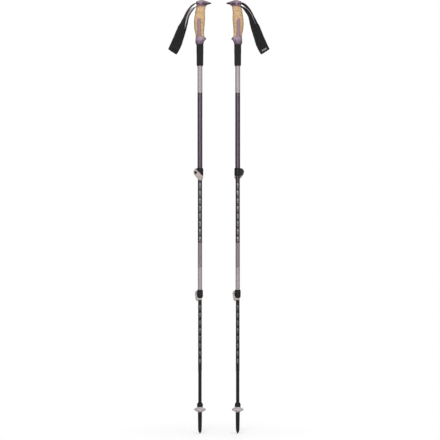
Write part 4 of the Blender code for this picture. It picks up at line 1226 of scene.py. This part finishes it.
def lever_mesh(scale, radius_below):
    """Plate on the clamp's -Y side, with a wrap that reaches round the tube."""
    pivot = PIVOT_X * scale
    steps = 6
    outline = scaled(spline_closed(LEVER, steps), scale)
    plate = prism(outline, -17.4 * scale, -11.3 * scale)
    # the wrap's outer edge is the same curve as the plate's foot
    foot_curve = outline[5 * steps:8 * steps + 1]

    def arc(radius):
        """Inner edge of the wrap, about the pivot."""
        return [(pivot + radius * scale * math.cos(math.radians(angle)),
                 radius * scale * math.sin(math.radians(angle)))
                for angle in even_steps(-58, -30.8, 20)]

    wrap = prism(arc(28.2) + foot_curve, -12.8 * scale, 7.0 * scale)
    wrap = carve(wrap, [('DIFFERENCE', upright_rod(radius_below + 1.6, -40, 10))])
    # stepped fillet between the plate and the wrap
    outer_step = prism(arc(24.4) + foot_curve, -11.8 * scale, -8.7 * scale)
    inner_step = prism(arc(22.7) + foot_curve, -11.9 * scale, -9.8 * scale)

    side_outline = scaled([(x, z) for x, z in spline_closed(LEVER_SIDE, 4) if z < 9.0]
                          + [(-7.2, 14), (14.2, 14)], scale)
    side_roll = prism(side_outline, -30 * scale, 24 * scale)
    bmesh.ops.rotate(side_roll, verts=side_roll.verts, cent=(0, 0, 0),
                     matrix=Matrix.Rotation(-math.pi / 2, 3, 'Z'))
    bolt_seat = cross_rod(4.4 * scale + 0.45, -20 * scale, -14.8 * scale, pivot, 0, 64)
    hole = cross_rod(2.4, -20 * scale, -8 * scale, pivot, 0, 32)
    operations = [('UNION', outer_step), ('UNION', inner_step), ('UNION', wrap),
                  ('INTERSECT', side_roll), ('DIFFERENCE', bolt_seat), ('DIFFERENCE', hole)]
    # three narrow grooves on the plate's -Y face near the tip
    slope = math.radians(-43)
    along = (math.cos(slope + math.pi / 2), math.sin(slope + math.pi / 2))
    across = (math.cos(slope), math.sin(slope))
    for k in range(3):
        x, z = 0.6 + k * 1.9, -16.6 - k * 1.75
        corners = [(x + along[0] * length + across[0] * width,
                    z + along[1] * length + across[1] * width)
                   for length, width in box(-4.0, 4.0, -0.35, 0.35)]
        groove = prism(rounded(scaled(corners, scale), 0.3 * scale, 3),
                       -20 * scale, -17.0 * scale)
        operations.append(('DIFFERENCE', groove))
    return carve(plate, operations, bevel=(1.5 * scale, 4, 50))


def bolt_mesh(scale):
    """Domed head with a hexagon socket on a plain shank, head up."""
    head = scaled([(0, 18.2), (3.2, 18.2), (4.0, 17.9), (4.4, 17.2), (4.4, 15.0)], scale)
    shank = [(2.0, 15.0 * scale), (2.0, -10.2 * scale), (1.7, -10.6 * scale), (0, -10.6 * scale)]
    socket = bmesh.new()
    bmesh.ops.create_cone(socket, cap_ends=True, segments=6, radius1=2.0 * scale * MM,
                          radius2=2.0 * scale * MM, depth=4.0 * scale * MM)
    bmesh.ops.translate(socket, verts=socket.verts, vec=(0, 0, 18.4 * scale * MM))
    return carve(turned(head + shank, 48, bored=False), [('DIFFERENCE', socket)])


def build_lock(tag, pole, centre_z, scale, radius_above, radius_below, body, skirt=False):
    lock = pole @ Matrix.Translation((0, 0, centre_z * MM))
    add_part(tag + "_clamp_body", clamp_mesh(scale, radius_above, radius_below, skirt),
             "black", lock, tag + "_clamp", body, sharp=32)
    add_part(tag + "_lever_arm", lever_mesh(scale, radius_below), "lever", lock,
             tag + "_lever", tag + "_lever_body", sharp=35)
    bolt = lock @ Matrix.Translation((PIVOT_X * scale * MM, 0, 0)) \
        @ Matrix.Rotation(math.pi / 2, 4, 'X')
    add_part(tag + "_bolt_screw", bolt_mesh(scale), "oxide", bolt, tag + "_bolt",
             tag + "_bolt_body", sharp=35)


# ------------------------------------------------------------------ tubes
SCALE_LABELS = [str(length) for length in range(135, 99, -5)]
# heights of the numbers, from 135 down to 100
MIDDLE_SCALE = [803.40, 778.83, 753.94, 729.36, 704.47, 679.90, 655.01, 630.44]
LOWER_SCALE = [409.30, 384.40, 359.83, 334.94, 310.04, 285.47, 260.58, 235.69]
PRINT_UNDER, PRINT_OVER = -0.03, 0.07   # print's faces, from the tube's surface


def tube_profile(radius, z0, z1):
    bore = radius - TUBE_WALL
    return [(bore, z0), (radius - 0.25, z0), (radius, z0 + 0.25),
            (radius, z1 - 0.25), (radius - 0.25, z1), (bore, z1)]


def label_mesh(text):
    """Flat extruded text, cut fine enough to follow the tube's curve."""
    curve = bpy.data.curves.new("label", 'FONT')
    curve.body = text
    curve.size = 6.6
    curve.align_x = 'CENTER'
    curve.offset = 0.12
    curve.extrude = 0.05
    curve.resolution_u = 2
    obj = bpy.data.objects.new("label", curve)
    bpy.context.scene.collection.objects.link(obj)
    mesh = baked(obj)
    bpy.data.objects.remove(obj, do_unlink=True)
    bpy.data.curves.remove(curve)
    bmesh.ops.remove_doubles(mesh, verts=mesh.verts, dist=1e-5)
    bmesh.ops.triangulate(mesh, faces=mesh.faces)
    for _ in range(4):
        long_edges = [edge for edge in mesh.edges if edge.calc_length() > 0.7]
        if not long_edges:
            break
        bmesh.ops.subdivide_edges(mesh, edges=long_edges, cuts=1)
        bmesh.ops.triangulate(mesh, faces=mesh.faces)
    return mesh


def build_scale(name, body, pole, radius, heights, slot, material, viewer_y):
    """Printed scale: a short bar and a number that reads along the tube at each
    height, wrapped round the side that faces the viewer."""
    mesh = bmesh.new()
    half_bar, bar_steps = 2.6, 8

    def add_vert(x, z, lift):
        angle = x / radius
        return mesh.verts.new(Vector((math.sin(angle) * (radius + lift),
                                      viewer_y * math.cos(angle) * (radius + lift), z)) * MM)

    def add_bar(z0, z1):
        under0, under1, over0, over1 = [
            [add_vert(x, z, lift) for x in even_steps(-half_bar, half_bar, bar_steps)]
            for lift in (PRINT_UNDER, PRINT_OVER) for z in (z0, z1)]
        for k in range(bar_steps):
            mesh.faces.new((over0[k], over0[k + 1], over1[k + 1], over1[k]))
            mesh.faces.new((under0[k], under1[k], under1[k + 1], under0[k + 1]))
            mesh.faces.new((under0[k], under0[k + 1], over0[k + 1], over0[k]))
            mesh.faces.new((under1[k], over1[k], over1[k + 1], under1[k + 1]))
        mesh.faces.new((under0[0], over0[0], over1[0], under1[0]))
        mesh.faces.new((under0[-1], under1[-1], over1[-1], over0[-1]))

    for z, text in zip(heights, SCALE_LABELS):
        add_bar(z - 8.3, z - 7.3)
        label = label_mesh(text)
        wrapped = {}
        for vert in label.verts:
            lift = PRINT_OVER if vert.co.z > 0 else PRINT_UNDER
            wrapped[vert] = add_vert(-viewer_y * (2.3 - vert.co.y), z + vert.co.x, lift)
        for face in label.faces:
            try:
                mesh.faces.new([wrapped[vert] for vert in face.verts])
            except ValueError:
                # guards against a triangle on the same three points as another
                pass
        label.free()
    bmesh.ops.recalc_face_normals(mesh, faces=mesh.faces)
    obj = link_mesh(name, mesh)
    dress(obj, material, pole)
    attach(obj, slot, body, replaces=False)


def build_tubes(side, pole):
    middle, lower = side + "_middle", side + "_lower"
    upper_seat = UPPER_LOCK_Z + LOCK_SEAT * UPPER_LOCK_SCALE
    lower_seat = LOWER_LOCK_Z + LOCK_SEAT * LOWER_LOCK_SCALE
    upper_profile = tube_profile(UPPER_RADIUS, upper_seat + CLEARANCE, 1370.0)
    middle_profile = tube_profile(MIDDLE_RADIUS, lower_seat + CLEARANCE,
                                  upper_seat + TUBE_OVERLAP)
    lower_top = lower_seat + TUBE_OVERLAP
    lower_profile = [
        (4.8, 74.4), (5.3, 74.4), (5.5, 74.7), (5.5, 200.6), (5.62, 201.0), (5.9, 202.0),
        (LOWER_RADIUS, 202.8), (LOWER_RADIUS, lower_top - 0.3), (LOWER_RADIUS - 0.25, lower_top),
        (4.8, lower_top)]
    for name, profile, body in (("upper", upper_profile, side + "_top"),
                                ("middle", middle_profile, middle),
                                ("lower", lower_profile, lower)):
        add_part(side + "_" + name + "_tube", turned(profile), name, pole,
                 side + "_" + name + "_shaft", body)
    build_scale(middle + "_scale", middle, pole, MIDDLE_RADIUS, MIDDLE_SCALE,
                middle + "_shaft", "mark", VIEWER_Y[side])
    build_scale(lower + "_scale", lower, pole, LOWER_RADIUS, LOWER_SCALE,
                lower + "_shaft", "mark_dim", VIEWER_Y[side])


# ------------------------------------------------------------------ foot
# profiles: radius, height
FERRULE = [
    (0, 74.0), (5.8, 74.0), (5.8, 99.3), (6.0, 99.6), (6.5, 99.6), (6.9, 99.4),
    (7.4, 98.8), (8.0, 97.8), (8.55, 96.6), (9.0, 95.2), (9.35, 93.7), (9.58, 92.0),
    (9.72, 90.6), (9.75, 89.4), (9.65, 87.8), (9.4, 86.9), (9.0, 86.5), (7.0, 86.1),
    (7.0, 69.0), (6.9, 67.6), (6.68, 66.6), (6.66, 65.2), (6.46, 64.9), (6.46, 63.9),
    (6.62, 63.6), (6.48, 48.0), (6.36, 39.0), (6.18, 38.7), (6.17, 37.9), (6.30, 37.6),
    (6.18, 30.0), (5.9, 16.4), (5.7, 12.4), (5.36, 9.0), (4.95, 7.0), (4.4, 5.3), (3.9, 4.3),
    (3.6, 4.0), (2.9, 4.0), (2.9, 18.0), (0, 18.0)]
TIP = [(0, 17.6), (2.3, 17.6), (2.6, 17.2), (2.6, 3.4), (2.5, 2.0), (2.25, 0.6), (2.0, 0.0),
       (1.5, 0.0), (1.1, 0.35), (0, 0.6)]
BASKET = rounded([
    (7.35, 85.4), (8.6, 85.4), (9.7, 83.8), (12.5, 82.2), (15.4, 81.0), (17.55, 79.7),
    (18.75, 78.1), (18.95, 76.8), (18.55, 75.3), (17.15, 73.9), (14.4, 72.8), (11.5, 71.6),
    (9.6, 70.2), (9.0, 69.2), (7.35, 69.2)], radius=0.5, steps=2)


def basket_mesh():
    """Disc with twelve fine radial grooves on both faces, between hub and rim."""
    mesh = turned(BASKET, 144)
    inner, outer = 9.8, 18.2
    middle_z = 77.0
    for vert in mesh.verts:
        radius = math.hypot(vert.co.x, vert.co.y) / MM
        if inner < radius < outer:
            fade = math.sin(math.pi * (radius - inner) / (outer - inner))
            angle = math.atan2(vert.co.y, vert.co.x)
            depth = 0.45 * fade * math.exp(-(math.sin(angle * 6.0) / 0.28) ** 2)
            vert.co.z += (-depth if vert.co.z > middle_z * MM else depth) * MM
    return mesh


def build_foot(side, pole):
    lower = side + "_lower"
    add_part(side + "_ferrule_body", turned(FERRULE, bored=False), "ferrule", pole,
             side + "_ferrule", lower)
    add_part(side + "_hard_tip", turned(TIP, 48, bored=False), "carbide", pole,
             side + "_carbide_tip", lower)
    add_part(side + "_basket_disc", basket_mesh(), "basket", pole, side + "_basket",
             side + "_basket_body", sharp=40)


# ------------------------------------------------------------------ poles
# CAD pieces that keep their own shape, and their materials
CAD_LOOK = {"shaft_cap": "inner", "strap_tail": "web", "strap_wedge": "inner",
            "middle_plug": "inner", "lower_plug": "inner", "upper_cam": "steel",
            "lower_cam": "steel", "upper_nut": "oxide", "lower_nut": "oxide"}


def dress_cad(side):
    for node, material in CAD_LOOK.items():
        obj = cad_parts[side + "_" + node]
        obj.data.materials.clear()
        obj.data.materials.append(MATERIALS[material])


for side, pole in POLES.items():
    build_grip(side, pole)
    build_strap(side, pole)
    build_lock(side + "_upper", pole, UPPER_LOCK_Z, UPPER_LOCK_SCALE, UPPER_RADIUS,
               MIDDLE_RADIUS, side + "_top")
    build_lock(side + "_lower", pole @ Matrix.Rotation(LOWER_LOCK_TURN[side], 4, 'Z'),
               LOWER_LOCK_Z, LOWER_LOCK_SCALE, MIDDLE_RADIUS, LOWER_RADIUS,
               side + "_middle", skirt=True)
    build_tubes(side, pole)
    build_foot(side, pole)
    dress_cad(side)


# ------------------------------------------------------------------ studio
WHITE = (1, 1, 1, 1)


def paper_material():
    """Pale floor that takes soft shadows near the poles and runs out to plain
    white further off, so it has no visible edge from any side."""
    mat = Material("paper_floor")
    camera_ray = mat.node("LightPath", {}).outputs["Is Camera Ray"]
    tone = mat.mottle((0.86, 0.86, 0.86, 1), (0.82, 0.82, 0.82, 1), scale=3.0, amount=0.05,
                      detail=2, rough=0.5, span=(0.3, 0.7))
    mat.finish(tone, 0.9)
    lift = mat.node("Emission", {"Color": WHITE, "Strength": mat.math('MULTIPLY', camera_ray, 0.38)})
    near = mat.node("AddShader", {0: mat.shader.outputs[0], 1: lift.outputs[0]})
    far = mat.node("Emission", {"Color": WHITE, "Strength": 1.0})
    place = mat.axes()
    radius = mat.distance(place[0], place[1])
    fade = mat.math('MULTIPLY', mat.remap(radius, (0.07, 0.38), to=(0.0, 1.0)), camera_ray,
                    clamp=True)
    blend = mat.node("MixShader", {0: fade, 1: near.outputs[0], 2: far.outputs[0]})
    mat.feed(mat.tree.nodes["Material Output"], "Surface", blend.outputs[0])
    return mat.material


def build_floor():
    mesh = bmesh.new()
    bmesh.ops.create_grid(mesh, x_segments=4, y_segments=4, size=4.0)
    floor = link_mesh("studio_floor", mesh)
    floor.data.materials.append(paper_material())


def build_world(light_strength, seen_strength):
    """White surroundings, brighter to the camera than the light they cast."""
    world = bpy.data.worlds.new("studio")
    bpy.context.scene.world = world
    world.use_nodes = True
    tree = world.node_tree
    background = tree.nodes["Background"]
    light_path = tree.nodes.new("ShaderNodeLightPath")
    strength = tree.nodes.new("ShaderNodeMix")
    strength.data_type = 'FLOAT'
    tree.links.new(light_path.outputs["Is Camera Ray"], strength.inputs[0])
    strength.inputs[2].default_value = light_strength
    strength.inputs[3].default_value = seen_strength
    tree.links.new(strength.outputs[0], background.inputs["Strength"])
    background.inputs["Color"].default_value = WHITE


def add_light(name, location, target_z, width, height, power):
    """Rectangular light aimed at a height on the world's Z axis; metres and watts."""
    light = bpy.data.lights.new(name, 'AREA')
    light.shape = 'RECTANGLE'
    light.size = width
    light.size_y = height
    light.energy = power
    obj = bpy.data.objects.new(name, light)
    bpy.context.scene.collection.objects.link(obj)
    obj.location = location
    aim = Vector((0, 0, target_z)) - Vector(location)
    obj.rotation_euler = aim.to_track_quat('-Z', 'Y').to_euler()


def build_camera(distance, view_size, x, z):
    """Camera level with z that sees view_size metres at the poles' plane."""
    data = bpy.data.cameras.new("camera")
    camera = bpy.data.objects.new("camera", data)
    bpy.context.scene.collection.objects.link(camera)
    data.sensor_width = 36.0
    data.lens = 36.0 * distance / view_size
    data.clip_end = 30
    camera.location = (x, -distance, z)
    camera.rotation_euler = (math.pi / 2, 0, 0)
    bpy.context.scene.camera = camera


build_floor()
build_world(light_strength=0.30, seen_strength=1.0)
add_light("key", (-0.5, -3.6, 1.7), target_z=0.75, width=1.2, height=2.6, power=52)
add_light("fill", (1.6, -2.8, 1.2), target_z=0.7, width=0.7, height=2.0, power=12)
add_light("top", (0.1, -0.3, 3.2), target_z=0.4, width=1.6, height=1.6, power=22)
add_light("back", (0.5, 3.4, 1.5), target_z=0.75, width=1.4, height=2.4, power=16)
build_camera(distance=6.0, view_size=1.4225, x=0.0038, z=0.6896)
bpy.context.scene.view_settings.view_transform = 'Standard'
